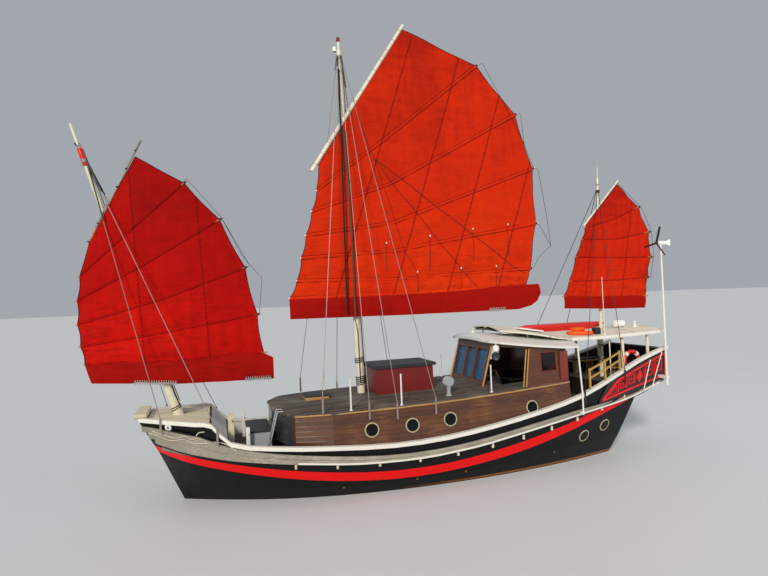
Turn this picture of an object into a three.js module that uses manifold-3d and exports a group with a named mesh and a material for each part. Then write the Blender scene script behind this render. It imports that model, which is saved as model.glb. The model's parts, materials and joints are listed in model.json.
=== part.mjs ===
// Three-masted junk-rigged passenger boat: decked hull, trunk cabin, wheelhouse, awning, three sails.
// Millimetres. X runs from bow (-) to stern (+), +Y is starboard, +Z is up.
// The origin is on the waterline plane, on the centreline, amidships of the waterline.

import * as THREE from "three";
import { mergeVertices } from "three/addons/utils/BufferGeometryUtils.js";
import Module from "manifold-3d";

const wasm = await Module();
wasm.setup();

// Driving sizes
const GAP = 0.3;
const LOFT_STEPS = 2;
const PLANK = 60;
const CAP_OUT = 30;
const CAP_IN = 110;
const CAP_HIGH = 68;
const CAP_DROP = 24;
const FORE_WELL_X0 = -4830;
const FORE_WELL_X1 = -3000;
const FORE_WELL_Z = 1130;
const COCKPIT_X0 = 4090;
const POOP_X0 = 5600;
const STERN_X1 = 7540;
const COCKPIT_Z = 1520;
const POOP_Z = 2060;
const CABIN_X0 = -3740;
const CABIN_X1 = 4050;
const CABIN_WALL = 55;
const CABIN_IN = 118;
const CABIN_LEAN = 70;
const ROOF_THICK = 55;
const ROOF_OVER = 28;
const CROWN = 110;
const MAST_SIDES = 28;
const RUNNING = 0.35;
const LINE_R = 9;
const CLOTH = 8;

// Hull stations. xk, xw, xm: X at keel line, waterline and knuckle; zk: bottom; zm: knuckle height;
// bw, bm: half-breadths at waterline and knuckle; v: 0 round bilge to 1 straight V section
const LOWER = [
  { xk: -5200, xw: -5880, xm: -6400, zk: -860, zm: 1150, bw: 42, bm: 80, v: 1.0 },
  { xk: -4700, xw: -5300, xm: -5800, zk: -960, zm: 1240, bw: 340, bm: 900, v: 0.95 },
  { xk: -4200, xw: -4500, xm: -4900, zk: -1000, zm: 1130, bw: 700, bm: 1360, v: 0.8 },
  { xk: -3400, xw: -3500, xm: -3750, zk: -1010, zm: 990, bw: 1060, bm: 1680, v: 0.6 },
  { xk: -2300, xw: -2300, xm: -2450, zk: -1020, zm: 855, bw: 1340, bm: 1860, v: 0.4 },
  { xk: -1000, xw: -1000, xm: -1050, zk: -1030, zm: 785, bw: 1500, bm: 1960, v: 0.25 },
  { xk: 300, xw: 300, xm: 300, zk: -1030, zm: 815, bw: 1550, bm: 1990, v: 0.2 },
  { xk: 1600, xw: 1600, xm: 1650, zk: -1000, zm: 985, bw: 1510, bm: 1955, v: 0.25 },
  { xk: 2900, xw: 2900, xm: 3050, zk: -920, zm: 1200, bw: 1380, bm: 1865, v: 0.35 },
  { xk: 4050, xw: 4100, xm: 4350, zk: -760, zm: 1395, bw: 1180, bm: 1715, v: 0.5 },
  { xk: 5000, xw: 5050, xm: 5450, zk: -500, zm: 1530, bw: 960, bm: 1500, v: 0.6 },
  { xk: 5780, xw: 5880, xm: 6400, zk: -230, zm: 1620, bw: 740, bm: 1320, v: 0.6 },
];

// Upper hull from the knuckle to the rail. xm, zm, bm as above; xd, zd, bd: X, height and half-breadth at rail
const UPPER = [
  { xm: -6400, zm: 1150, bm: 80, xd: -6820, zd: 2085, bd: 520 },
  { xm: -5800, zm: 1240, bm: 900, xd: -6250, zd: 2065, bd: 960 },
  { xm: -5250, zm: 1190, bm: 1200, xd: -5550, zd: 2005, bd: 1290 },
  { xm: -4900, zm: 1130, bm: 1360, xd: -5180, zd: 1955, bd: 1440 },
  { xm: -4650, zm: 1100, bm: 1430, xd: -4760, zd: 1520, bd: 1560 },
  { xm: -3750, zm: 990, bm: 1680, xd: -3850, zd: 1375, bd: 1770 },
  { xm: -2450, zm: 855, bm: 1860, xd: -2500, zd: 1275, bd: 1940 },
  { xm: -1050, zm: 785, bm: 1960, xd: -1050, zd: 1205, bd: 2030 },
  { xm: 300, zm: 815, bm: 1990, xd: 300, zd: 1250, bd: 2050 },
  { xm: 1650, zm: 985, bm: 1955, xd: 1650, zd: 1400, bd: 2020 },
  { xm: 3050, zm: 1200, bm: 1865, xd: 3050, zd: 1615, bd: 1940 },
  { xm: 4350, zm: 1395, bm: 1715, xd: 4350, zd: 1885, bd: 1810 },
  { xm: 5450, zm: 1530, bm: 1500, xd: 5500, zd: 2270, bd: 1620 },
  { xm: 6400, zm: 1620, bm: 1320, xd: 6450, zd: 2610, bd: 1440 },
  { xm: 7000, zm: 1810, bm: 1270, xd: 7050, zd: 2790, bd: 1360 },
  { xm: 7560, zm: 2020, bm: 1210, xd: 7640, zd: 2950, bd: 1290 },
];

// Rubbing wale. x; zb, zt: lower and upper edge; out: how far it stands off the planking
const WALE = [
  { x: -6760, zb: 1330, zt: 1960, out: 85 },
  { x: -6200, zb: 1330, zt: 1910, out: 85 },
  { x: -5600, zb: 1270, zt: 1790, out: 85 },
  { x: -5000, zb: 1175, zt: 1550, out: 75 },
  { x: -4300, zb: 1100, zt: 1370, out: 65 },
  { x: -3400, zb: 1000, zt: 1225, out: 62 },
  { x: -2400, zb: 905, zt: 1105, out: 60 },
  { x: -1300, zb: 835, zt: 1015, out: 60 },
  { x: 0, zb: 850, zt: 1020, out: 60 },
  { x: 1400, zb: 985, zt: 1150, out: 60 },
  { x: 2800, zb: 1190, zt: 1350, out: 60 },
  { x: 4100, zb: 1375, zt: 1520, out: 60 },
  { x: 5300, zb: 1510, zt: 1620, out: 50 },
  { x: 6300, zb: 1650, zt: 1735, out: 45 },
  { x: 7500, zb: 2005, zt: 2085, out: 45 },
];

// Trunk cabin edge. x: station; half: half-breadth at the foot before the rail margin; z: side height at roof
const CABIN_BOW = [
  { x: -3740, half: 470 },
  { x: -3600, half: 980 },
  { x: -3450, half: 1330 },
  { x: -3300, half: 1560 },
];
const CABIN_TOP = [
  { x: -3740, z: 2045 },
  { x: -3300, z: 2010 },
  { x: -1200, z: 2045 },
  { x: 300, z: 2085 },
  { x: 1900, z: 2150 },
  { x: 4050, z: 2260 },
];

// Geometry helpers
function solid(geometry) {
  const bare = geometry.clone();
  for (const name of Object.keys(bare.attributes)) {
    if (name !== "position") {
      bare.deleteAttribute(name);
    }
  }
  const merged = mergeVertices(bare, 1e-3);
  return new wasm.Manifold(new wasm.Mesh({
    numProp: 3,
    vertProperties: new Float32Array(merged.attributes.position.array),
    triVerts: new Uint32Array(merged.index.array),
  }));
}

function geometryOf(manifold) {
  const mesh = manifold.getMesh();
  const geometry = new THREE.BufferGeometry();
  const count = mesh.vertProperties.length / mesh.numProp;
  const position = new Float32Array(count * 3);
  for (let i = 0; i < count; i += 1) {
    position[3 * i] = mesh.vertProperties[mesh.numProp * i];
    position[3 * i + 1] = mesh.vertProperties[mesh.numProp * i + 1];
    position[3 * i + 2] = mesh.vertProperties[mesh.numProp * i + 2];
  }
  geometry.setAttribute("position", new THREE.BufferAttribute(position, 3));
  geometry.setIndex(new THREE.BufferAttribute(new Uint32Array(mesh.triVerts), 1));
  geometry.computeVertexNormals();
  return geometry;
}

function box(x0, x1, y0, y1, z0, z1) {
  const geometry = new THREE.BoxGeometry(x1 - x0, y1 - y0, z1 - z0);
  geometry.translate((x0 + x1) / 2, (y0 + y1) / 2, (z0 + z1) / 2);
  return solid(geometry);
}

function vec(p) {
  return new THREE.Vector3(p[0], p[1], p[2]);
}

// Turns a shape built around +Y at the origin so that it runs from p to q
function alongLine(geometry, p, q) {
  const start = vec(p);
  const end = vec(q);
  const direction = end.clone().sub(start).normalize();
  const turn = new THREE.Quaternion().setFromUnitVectors(new THREE.Vector3(0, 1, 0), direction);
  geometry.applyQuaternion(turn);
  geometry.translate(start.x, start.y, start.z);
  return geometry;
}

function rod(p, q, r0, r1 = r0, sides = 12) {
  const length = vec(q).distanceTo(vec(p));
  const geometry = new THREE.CylinderGeometry(r1, r0, length, sides, 1);
  geometry.translate(0, length / 2, 0);
  return solid(alongLine(geometry, p, q));
}

function ring(p, q, rIn, rOut, sides = MAST_SIDES) {
  const length = vec(q).distanceTo(vec(p));
  const inner = rIn / Math.cos(Math.PI / sides);
  const profile = [[inner, 0], [rOut, 0], [rOut, length], [inner, length], [inner, 0]];
  const geometry = new THREE.LatheGeometry(profile.map((c) => new THREE.Vector2(c[0], c[1])), sides);
  return solid(alongLine(geometry, p, q));
}

function lathe(profile, p, q, sides = 16) {
  const points = profile.map((c) => new THREE.Vector2(c[0], c[1]));
  return solid(alongLine(new THREE.LatheGeometry(points, sides), p, q));
}

// Flat shape with corners [x, z], standing in the fore-and-aft plane between two Y values
function plate(corners, y0, y1) {
  const shape = new THREE.Shape(corners.map((c) => new THREE.Vector2(c[0], c[1])));
  const geometry = new THREE.ExtrudeGeometry(shape, { depth: y1 - y0, bevelEnabled: false });
  geometry.rotateX(Math.PI / 2);
  geometry.translate(0, y1, 0);
  return solid(geometry);
}

// Flat shape with corners [x, y], lying between two heights
function slab(corners, z0, z1) {
  const shape = new THREE.Shape(corners.map((c) => new THREE.Vector2(c[0], c[1])));
  const geometry = new THREE.ExtrudeGeometry(shape, { depth: z1 - z0, bevelEnabled: false });
  geometry.translate(0, 0, z0);
  return solid(geometry);
}

// Flat shape with corners [y, z], standing across the boat between two X values
function frame(corners, x0, x1) {
  const shape = new THREE.Shape(corners.map((c) => new THREE.Vector2(c[0], c[1])));
  const geometry = new THREE.ExtrudeGeometry(shape, { depth: x1 - x0, bevelEnabled: false });
  geometry.rotateX(Math.PI / 2);
  geometry.rotateZ(Math.PI / 2);
  geometry.translate(x0, 0, 0);
  return solid(geometry);
}

// Skin over rings of points that all have the same count, closed at both ends;
// rings list one side's points and then the other's, so both sides are split alike
function loft(rings) {
  const count = rings[0].length;
  const position = [];
  for (const one of rings) {
    for (const point of one) {
      position.push(point[0], point[1], point[2]);
    }
  }
  const centre = (one) => {
    const sum = [0, 0, 0];
    for (const point of one) {
      sum[0] += point[0] / count;
      sum[1] += point[1] / count;
      sum[2] += point[2] / count;
    }
    return sum;
  };
  position.push(...centre(rings[0]), ...centre(rings[rings.length - 1]));
  const first = rings.length * count;
  const index = [];
  for (let i = 0; i + 1 < rings.length; i += 1) {
    for (let j = 0; j < count; j += 1) {
      const a = i * count + j;
      const b = i * count + ((j + 1) % count);
      if (j > (count - 2) / 2) {
        index.push(a, b, b + count, a, b + count, a + count);
      } else {
        index.push(a, b, a + count, b, b + count, a + count);
      }
    }
  }
  for (let j = 0; j < count; j += 1) {
    const next = (j + 1) % count;
    const last = (rings.length - 1) * count;
    index.push(first, next, j);
    index.push(first + 1, last + j, last + next);
  }
  const geometry = new THREE.BufferGeometry();
  geometry.setAttribute("position", new THREE.Float32BufferAttribute(position, 3));
  geometry.setIndex(index);
  const made = solid(geometry);
  if (made.volume() > 0) {
    return made;
  }
  const flipped = [];
  for (let i = 0; i < index.length; i += 3) {
    flipped.push(index[i], index[i + 2], index[i + 1]);
  }
  geometry.setIndex(flipped);
  return solid(geometry);
}

function union(parts) {
  return parts.reduce((sum, part) => sum.add(part));
}

function mirrored(manifold) {
  return manifold.mirror([0, 1, 0]);
}

// Smooth rows: cubic through every named column, some steps between each two rows
function smooth(rows, steps = LOFT_STEPS) {
  const names = Object.keys(rows[0]);
  const out = [];
  const last = rows.length - 1;
  for (let i = 0; i < last; i += 1) {
    const p0 = rows[Math.max(i - 1, 0)];
    const p1 = rows[i];
    const p2 = rows[i + 1];
    const p3 = rows[Math.min(i + 2, last)];
    for (let k = 0; k < steps; k += 1) {
      const t = k / steps;
      const row = {};
      for (const name of names) {
        const m1 = (p2[name] - p0[name]) / 2;
        const m2 = (p3[name] - p1[name]) / 2;
        const a = 2 * t ** 3 - 3 * t ** 2 + 1;
        const b = t ** 3 - 2 * t ** 2 + t;
        const c = -2 * t ** 3 + 3 * t ** 2;
        const d = t ** 3 - t ** 2;
        row[name] = a * p1[name] + b * m1 + c * p2[name] + d * m2;
      }
      out.push(row);
    }
  }
  out.push({ ...rows[last] });
  return out;
}

// Value of one column at a place along another column, straight between rows
function at(rows, key, place, name) {
  if (place <= rows[0][key]) {
    return rows[0][name];
  }
  for (let i = 0; i + 1 < rows.length; i += 1) {
    if (place <= rows[i + 1][key]) {
      const t = (place - rows[i][key]) / (rows[i + 1][key] - rows[i][key]);
      return rows[i][name] + t * (rows[i + 1][name] - rows[i][name]);
    }
  }
  return rows[rows.length - 1][name];
}

const lowerRows = smooth(LOWER);
const upperRows = smooth(UPPER);
const waleRows = smooth(WALE, 2);
const railZ = (x) => at(upperRows, "xd", x, "zd");
const railHalf = (x) => at(upperRows, "xd", x, "bd");
const cabinTopZ = (x) => at(CABIN_TOP, "x", x, "z");

// Half-breadth of the planking above the knuckle at a height
function sideHalf(x, z) {
  const zm = at(upperRows, "xm", x, "zm");
  const bm = at(upperRows, "xm", x, "bm");
  const t = (z - zm) / (railZ(x) - zm);
  return bm + (railHalf(x) - bm) * Math.min(Math.max(t, 0), 1);
}

// Half-breadth of the skin at a point, followed along the slanting frames of the upper hull
function skinHalf(x, z) {
  const spot = (row) => {
    const t = (z - row.zm) / (row.zd - row.zm);
    return { x: row.xm + (row.xd - row.xm) * t, half: row.bm + (row.bd - row.bm) * t };
  };
  const next = upperRows.findIndex((row) => spot(row).x > x);
  const b = spot(upperRows[Math.max(next, 1)]);
  const a = spot(upperRows[Math.max(next, 1) - 1]);
  return Math.max(a.half + (b.half - a.half) * (x - a.x) / (b.x - a.x), 60);
}

// Hull
const UNDER_STEPS = 6;
const SIDE_STEPS = 3;
const KNUCKLE_LIP = 4;
const KNUCKLE_LAP = 35;

function lowerRing(row, grow) {
  const half = [];
  for (let i = 0; i <= UNDER_STEPS; i += 1) {
    const t = i / UNDER_STEPS;
    const z = row.zk * (1 - t);
    const round = Math.sqrt(Math.max(1 - (1 - t) ** 2, 0)) ** 0.85;
    const y = row.bw * ((1 - row.v) * round + row.v * t ** 0.85);
    half.push([row.xk + (row.xw - row.xk) * t, y + grow, z - (i === 0 ? grow : 0)]);
  }
  for (let i = 1; i <= SIDE_STEPS; i += 1) {
    const t = i / SIDE_STEPS;
    const y = row.bw + (row.bm - KNUCKLE_LIP - row.bw) * t ** 0.8;
    half.push([row.xw + (row.xm - row.xw) * t, y + grow, row.zm * t]);
  }
  half.push([row.xm, row.bm - KNUCKLE_LIP + grow, row.zm + KNUCKLE_LAP]);
  half[0][1] = Math.max(half[0][1], 30);
  const port = half.map((p) => [p[0], -p[1], p[2]]);
  return [...half.reverse(), ...port];
}

function lowerHull(grow) {
  return loft(lowerRows.map((row) => lowerRing(row, grow)));
}

function upperHull(grow) {
  return loft(upperRows.map((row) => [
    [row.xm, row.bm + grow, row.zm - grow],
    [row.xd, row.bd + grow, row.zd + grow],
    [row.xd, -row.bd - grow, row.zd + grow],
    [row.xm, -row.bm - grow, row.zm - grow],
  ]));
}

// Space inside the bulwarks between two X values, from a floor height up past the rail
function well(x0, x1, floor, inset) {
  const steps = 8;
  const rings = [];
  for (let i = 0; i <= steps; i += 1) {
    const x = x0 + ((x1 - x0) * i) / steps;
    const top = railZ(x) + 400;
    const foot = sideHalf(x, floor) - inset;
    const edge = railHalf(x) - inset;
    rings.push([[x, foot, floor], [x, edge, railZ(x)], [x, edge, top], [x, -edge, top],
      [x, -edge, railZ(x)], [x, -foot, floor]]);
  }
  return loft(rings);
}

// Corner radius of a faceted bore in which a shaft of this radius turns
const boreR = (r) => (r + RUNNING) / Math.cos(Math.PI / MAST_SIDES);

const KEEL_HALF = 65;
const keel = plate([
  [-5050, -700], [-4650, -1080], [-3000, -1220], [4480, -1460], [4560, -1420],
  [4560, -700], [4300, -500],
], -KEEL_HALF, KEEL_HALF);
const SHAFT_Z = -960;
const SHAFT_X = 4560;
const sternTube = rod([3900, 0, SHAFT_Z], [SHAFT_X + 60, 0, SHAFT_Z], 85, 70, 16);
const RUDDER_X = 5330;
const rudderTrunk = rod([RUDDER_X, 0, -560], [RUDDER_X, 0, 0], 70, 70, MAST_SIDES);
const SHOE_Z = -1445;
const heelShoe = box(4400, 5430, -50, 50, SHOE_Z - 80, SHOE_Z);

let hull = union([lowerHull(0), upperHull(0), keel, sternTube, heelShoe, rudderTrunk]);
hull = hull.subtract(well(FORE_WELL_X0, FORE_WELL_X1, FORE_WELL_Z, PLANK));
hull = hull.add(box(CABIN_X0 + 60, FORE_WELL_X1 + 200, -1300, 1300, 1000, FORE_WELL_Z));
hull = hull.subtract(well(COCKPIT_X0, POOP_X0, COCKPIT_Z, PLANK));
hull = hull.subtract(well(POOP_X0 - 40, STERN_X1, POOP_Z, PLANK));
const RUDDER_STOCK_R = 38;
hull = hull.subtract(rod([RUDDER_X, 0, SHOE_Z], [RUDDER_X, 0, -150], boreR(RUDDER_STOCK_R), boreR(RUDDER_STOCK_R), MAST_SIDES));
const SHAFT_R = 32;
hull = hull.subtract(rod([4200, 0, SHAFT_Z], [4700, 0, SHAFT_Z], boreR(SHAFT_R), boreR(SHAFT_R), MAST_SIDES));

// The hull with a margin all round, for cutting what lies on it
const MARGIN = 3 * GAP;
const hullGrown = lowerHull(MARGIN).add(upperHull(MARGIN));

const BOW_SKIN_X = -4500;
// Stepped fore ends of the wale's planks: x of the end, from z0 to z1
const WALE_ENDS = [[-6330, 1200, 1470], [-6470, 1470, 1630], [-6620, 1630, 1800]];
// Wale planks down each side, two planks with a seam between them, planks wider at the bow
function wale() {
  const seam = 14;
  const rings = waleRows.map((row) => {
    const skin = row.x < BOW_SKIN_X ? skinHalf : sideHalf;
    const at3 = (z, out) => [row.x, -(skin(row.x, z) + out), z];
    const mid = (row.zb + row.zt) / 2;
    return [
      at3(row.zb, -30), at3(row.zb, row.out), at3(mid - seam, row.out), at3(mid, row.out - 22),
      at3(mid + seam, row.out), at3(row.zt, row.out), at3(row.zt, -30),
    ];
  });
  let planks = loft(rings);
  for (const shift of [[0, 0, 0], [-MARGIN, 0, 0], [0, -GAP, MARGIN], [0, -GAP, -MARGIN]]) {
    planks = planks.subtract(hullGrown.translate(shift));
  }
  for (const [x, z0, z1] of WALE_ENDS) planks = planks.subtract(box(-7500, x, -3000, 3000, z0, z1));
  return planks;
}

const walePort = wale();

const SEAT = 0.5;

// Rail cap: board on top of the bulwark with a moulding down its outer side
function railCap() {
  const rings = upperRows.map((row) => {
    const x = row.xd;
    const z = row.zd;
    return [
      [x, -(row.bd - CAP_IN), z + SEAT], [x, -(row.bd - CAP_IN), z + CAP_HIGH],
      [x, -(row.bd + CAP_OUT), z + CAP_HIGH], [x, -(row.bd + CAP_OUT), z - CAP_DROP],
      [x, -(row.bd + SEAT), z - CAP_DROP], [x, -(row.bd + SEAT), z + SEAT],
    ];
  });
  return loft(rings);
}

const railCapPort = railCap();

// Bow: transverse beam and planked platform around the foremast
const BEAM = { x0: -6900, x1: -6640, half: 590, z0: 2125, high: 125 };
let bowBeam = frame([
  [-BEAM.half, BEAM.z0 + 60], [-BEAM.half + 90, BEAM.z0], [BEAM.half - 90, BEAM.z0],
  [BEAM.half, BEAM.z0 + 60], [BEAM.half + 20, BEAM.z0 + BEAM.high], [-BEAM.half - 20, BEAM.z0 + BEAM.high],
], BEAM.x0, BEAM.x1);
for (const shift of [-GAP, 0, GAP]) {
  bowBeam = bowBeam.subtract(railCapPort.translate([0, shift, GAP]));
  bowBeam = bowBeam.subtract(mirrored(railCapPort).translate([0, shift, GAP]));
}
const PLATFORM_X0 = -6620;
const PLATFORM_X1 = -5230;
function platform(low = -60) {
  const rings = [];
  for (const x of [PLATFORM_X0, -6200, -5750, PLATFORM_X1]) {
    const half = railHalf(x) - CAP_IN - 12;
    const z = railZ(x) + GAP;
    rings.push([[x, -half, z + low], [x, -half, z + 30], [x, half, z + 30], [x, half, z + low]]);
  }
  return low < -60 ? loft(rings) : loft(rings).subtract(hullGrown);
}

// Trunk cabin: side walls with a rounded front, open below, and a cambered roof
function cabinRows(inset) {
  const rows = [];
  for (const one of CABIN_BOW) {
    rows.push({ x: one.x, foot: one.half, top: one.half - 20 });
  }
  for (const x of [-2450, -1050, 300, 1650, 3050, CABIN_X1]) {
    const foot = railHalf(x) - CABIN_IN;
    rows.push({ x, foot, top: foot - CABIN_LEAN });
  }
  return rows.map((row, i) => ({
    x: row.x + (i === 0 ? inset : 0) + (i > 0 && i < CABIN_BOW.length ? inset * 0.6 : 0),
    foot: row.foot - inset,
    top: row.top - inset,
    full: row.top,
  }));
}

function roofHeight(x, y, half) {
  return cabinTopZ(x) + CROWN * (1 - (y / half) ** 2);
}

function cabinSolid(inset, lift, under) {
  const across = [-1, -0.66, -0.33, 0, 0.33, 0.66, 1];
  return loft(cabinRows(inset).map((row) => {
    const zb = row.x < FORE_WELL_X1 ? FORE_WELL_Z + GAP : railZ(row.x) + GAP;
    const top = across.map((f) => [row.x, row.top * f, roofHeight(row.x, row.top * f, row.full) + lift]);
    return [[row.x, -row.foot, zb - under], ...top, [row.x, row.foot, zb - under]];
  }));
}

// Wheelhouse. x0, xt: raked front at foot and head; front: its half-breadth; s0, st: fore edge of the side
// walls at foot and head; x1: aft wall; foot, top: half-breadths at the fore edge; taper: less by that aft
const WH = {
  x0: 1750, xt: 2120, front: 1030, s0: 2700, st: 2920, x1: 4040, foot: 1715, top: 1640, taper: 85,
  z0: 2120, z1: 3570, wall: 50,
};
const HELM_WELL_X0 = 2290;
let cabin = cabinSolid(0, 0, 0).subtract(cabinSolid(CABIN_WALL, 60, 60));
cabin = cabin.add(cabinSolid(0, 0, 0).intersect(box(CABIN_X1 - CABIN_WALL, CABIN_X1, -3000, 3000, 1000, 3000)));
const DOOR_HALF = 360;
cabin = cabin.subtract(box(CABIN_X1 - 300, CABIN_X1 + 100, -DOOR_HALF, DOOR_HALF, 1000, 3000));
cabin = cabin.subtract(hullGrown);

const MAIN_MAST = { foot: [-1265, 0, 1206], head: [-1560, 0, 11480], r0: 112, r1: 62 };
// Cabin roof board; bottom or top replaces its lower or upper surface by a level far off
function roofBoard(bottom, top) {
  const across = [-1, -0.66, -0.33, 0, 0.33, 0.66, 1];
  const rows = cabinRows(0).map((row, i) => ({ ...row, x: row.x - (i === 0 ? ROOF_OVER : 0) }));
  return loft(rows.map((row) => {
    const half = row.top + ROOF_OVER;
    const height = (f) => roofHeight(row.x, row.top * f, row.full);
    const low = across.map((f) => [row.x, half * f, bottom ?? height(f) + GAP]);
    const high = across.map((f) => [row.x, half * f, top ?? height(f) + ROOF_THICK]);
    return [...low, ...high.reverse()];
  }));
}
cabin = cabin.subtract(roofBoard(undefined, 3000).translate([0, 0, -GAP]));
const underRoof = roofBoard(1400).translate([0, 0, GAP]);

function roofPanel() {
  const panel = roofBoard();
  const mastHole = rod(MAIN_MAST.foot, MAIN_MAST.head, MAIN_MAST.r0 + 6, MAIN_MAST.r0 + 6, MAST_SIDES);
  const inside = box(HELM_WELL_X0, CABIN_X1 - 120, -1180, 1180, 1800, 2700);
  const doorway = box(CABIN_X1 - 200, CABIN_X1 + 100, -DOOR_HALF, DOOR_HALF, 1800, 2700);
  return panel.subtract(mastHole).subtract(inside).subtract(doorway);
}

const cabinRoof = roofPanel();

// Stanchions along the cabin edge, foot on the roof
const STANCHION_X = [-1990, -740];
const STANCHION_HIGH = 780;
function stanchions() {
  const posts = [];
  for (const x of STANCHION_X) {
    for (const side of [-1, 1]) {
      const y = side * (railHalf(x) - CABIN_IN - CABIN_LEAN - 60);
      const z = cabinTopZ(x) + 30;
      posts.push(rod([x, y, z], [x, y, z + STANCHION_HIGH], 17, 17, 8));
      posts.push(rod([x, y, z], [x, y, z + 45], 45, 38, 8));
    }
  }
  return posts;
}

// Companion house on the cabin roof, abaft the main mast
const HOUSE = { x0: -1030, x1: 560, half: 600, z1: 2890, wall: 45 };
function house() {
  const z0 = 2050;
  const outer = box(HOUSE.x0, HOUSE.x1, -HOUSE.half, HOUSE.half, z0, HOUSE.z1);
  const w = HOUSE.wall;
  const inner = box(HOUSE.x0 + w, HOUSE.x1 - w, -HOUSE.half + w, HOUSE.half - w, z0 - 10, HOUSE.z1 + 10);
  const doorway = box(HOUSE.x1 - 100, HOUSE.x1 + 100, -300, 300, z0 - 10, HOUSE.z1 - 120);
  return outer.subtract(inner).subtract(doorway).subtract(underRoof);
}
const houseRoof = slab([
  [HOUSE.x0 - 70, -HOUSE.half - 70], [HOUSE.x1 + 70, -HOUSE.half - 70],
  [HOUSE.x1 + 70, HOUSE.half + 70], [HOUSE.x0 - 70, HOUSE.half + 70],
], HOUSE.z1 + GAP, HOUSE.z1 + 75);

// Wheelhouse: a raked windscreen frame, open bays beside it, then side walls and an aft wall with a doorway
const SILL = 2400;
const HEAD = 3230;
const PANE = 8;
const PANE_HALF = WH.front - 36;
// Front windows: y0, y1
const FRONT_WINDOWS = [[-970, -350], [-290, 290], [350, 970]];
// Side windows: x0, x1, z0, z1
const SIDE_WINDOWS = [[3210, 3700, 2620, 3125]];
const frontX = (z) => WH.x0 + (WH.xt - WH.x0) * (z - WH.z0) / (WH.z1 - WH.z0);

// One pane behind the raked front, wider and taller than its windows
function windscreen() {
  const inner = (z) => frontX(z) + WH.wall + GAP;
  const [low, high] = [SILL - 20, HEAD + 25];
  return plate([[inner(low), low], [inner(low) + PANE, low], [inner(high) + PANE, high], [inner(high), high]],
    -PANE_HALF, PANE_HALF);
}

function sideWall() {
  const { s0, st, x1, foot, top, taper, z0, z1, wall } = WH;
  return loft([[z0, s0, foot], [z1, st, top]].map(([z, x, half]) => [
    [x, -half, z], [x1, -half + taper, z], [x1, -half + taper + wall, z], [x, -half + wall, z],
  ]));
}

// Rail under the roof from the windscreen's corner to the side wall
function sideHeader() {
  const { xt, st, front, top, wall } = WH;
  return loft([[xt - 50, front, 3300], [st + 60, top - 2, 3255]].map(([x, half, z]) => [
    [x, -half, z], [x, -half + wall, z], [x, -half + wall, z + 230], [x, -half, z + 230],
  ]));
}

function wheelhouse() {
  const { front, x1, foot, top, taper, z0, z1, wall } = WH;
  const across = (x, half, z) => [[x, -half, z], [x + wall, -half, z], [x + wall, half, z], [x, half, z]];
  const screen = loft([across(frontX(z0), front, z0), across(frontX(z1), front, z1)]);
  const inner = taper + wall / 2;
  const aft = loft([across(x1 - wall, foot - inner, z0), across(x1 - wall, top - inner, z1)]);
  const side = sideWall().add(sideHeader());
  let shell = union([screen, aft, side, mirrored(side)]);
  for (const [y0, y1] of FRONT_WINDOWS) {
    shell = shell.subtract(box(1500, 2600, y0, y1, SILL, HEAD));
  }
  for (const [wx0, wx1, wz0, wz1] of SIDE_WINDOWS) {
    shell = shell.subtract(box(wx0, wx1, -2000, 2000, wz0, wz1));
  }
  shell = shell.subtract(box(x1 - 200, x1 + 200, -DOOR_HALF, DOOR_HALF, 1900, 3200));
  return shell.subtract(underRoof).subtract(roofDome(undefined, 4200).translate([0, 0, -GAP]));
}

// Wheelhouse roof: rounded outline, crowned across, edge lifted at its front and a little aft
const ROOF_EDGE = [
  { x: 1900, half: 860, z: 3460 },
  { x: 1950, half: 1220, z: 3450 },
  { x: 2120, half: 1520, z: 3430 },
  { x: 2500, half: 1690, z: 3380 },
  { x: 3050, half: 1745, z: 3310 },
  { x: 3850, half: 1765, z: 3225 },
  { x: 4300, half: 1745, z: 3212 },
  { x: 4430, half: 1640, z: 3220 },
];
const ROOF_CROWN = 190;
function roofDome(bottom, top) {
  const across = [-1, -0.8, -0.5, -0.2, 0.2, 0.5, 0.8, 1];
  return loft(ROOF_EDGE.map((row) => {
    const crown = ROOF_CROWN * (row.half / 1660) ** 2;
    const high = across.map((f) => [row.x, row.half * f, top ?? row.z + 30 + crown * (1 - f * f)]);
    const low = across.map((f) => [row.x, row.half * f, bottom ?? row.z - 25 + (crown - 25) * (1 - f * f)]);
    return [...low, ...high.reverse()];
  }));
}
const dome = roofDome();

// Awning over the after deck, carried forward over the wheelhouse
const AWNING = [
  { x: 2450, half: 900, z: 3670 },
  { x: 3000, half: 1100, z: 3610 },
  { x: 3500, half: 1200, z: 3525 },
  { x: 4100, half: 1240, z: 3405 },
  { x: 4450, half: 1250, z: 3360 },
  { x: 5600, half: 1250, z: 3355 },
  { x: 6500, half: 1245, z: 3380 },
  { x: 7600, half: 1235, z: 3422 },
];
const FASCIA_ROW = 4;
const AWNING_THICK = 42;
const AWNING_CROWN = 130;
// Arch of the awning in flats: height h as a share of the crown, at a share f of the half-breadth
const AWNING_ARCH = [{ f: 0, h: 0.96 }, { f: 0.2, h: 0.96 }, { f: 0.6, h: 0.64 }, { f: 1, h: 0 }];
const FASCIA = 85;
const FASCIA_LAP = 8;
const awningZ = (x, y) => at(AWNING, "x", x, "z")
  + AWNING_CROWN * at(AWNING_ARCH, "f", Math.abs(y) / at(AWNING, "x", x, "half"), "h");
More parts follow.
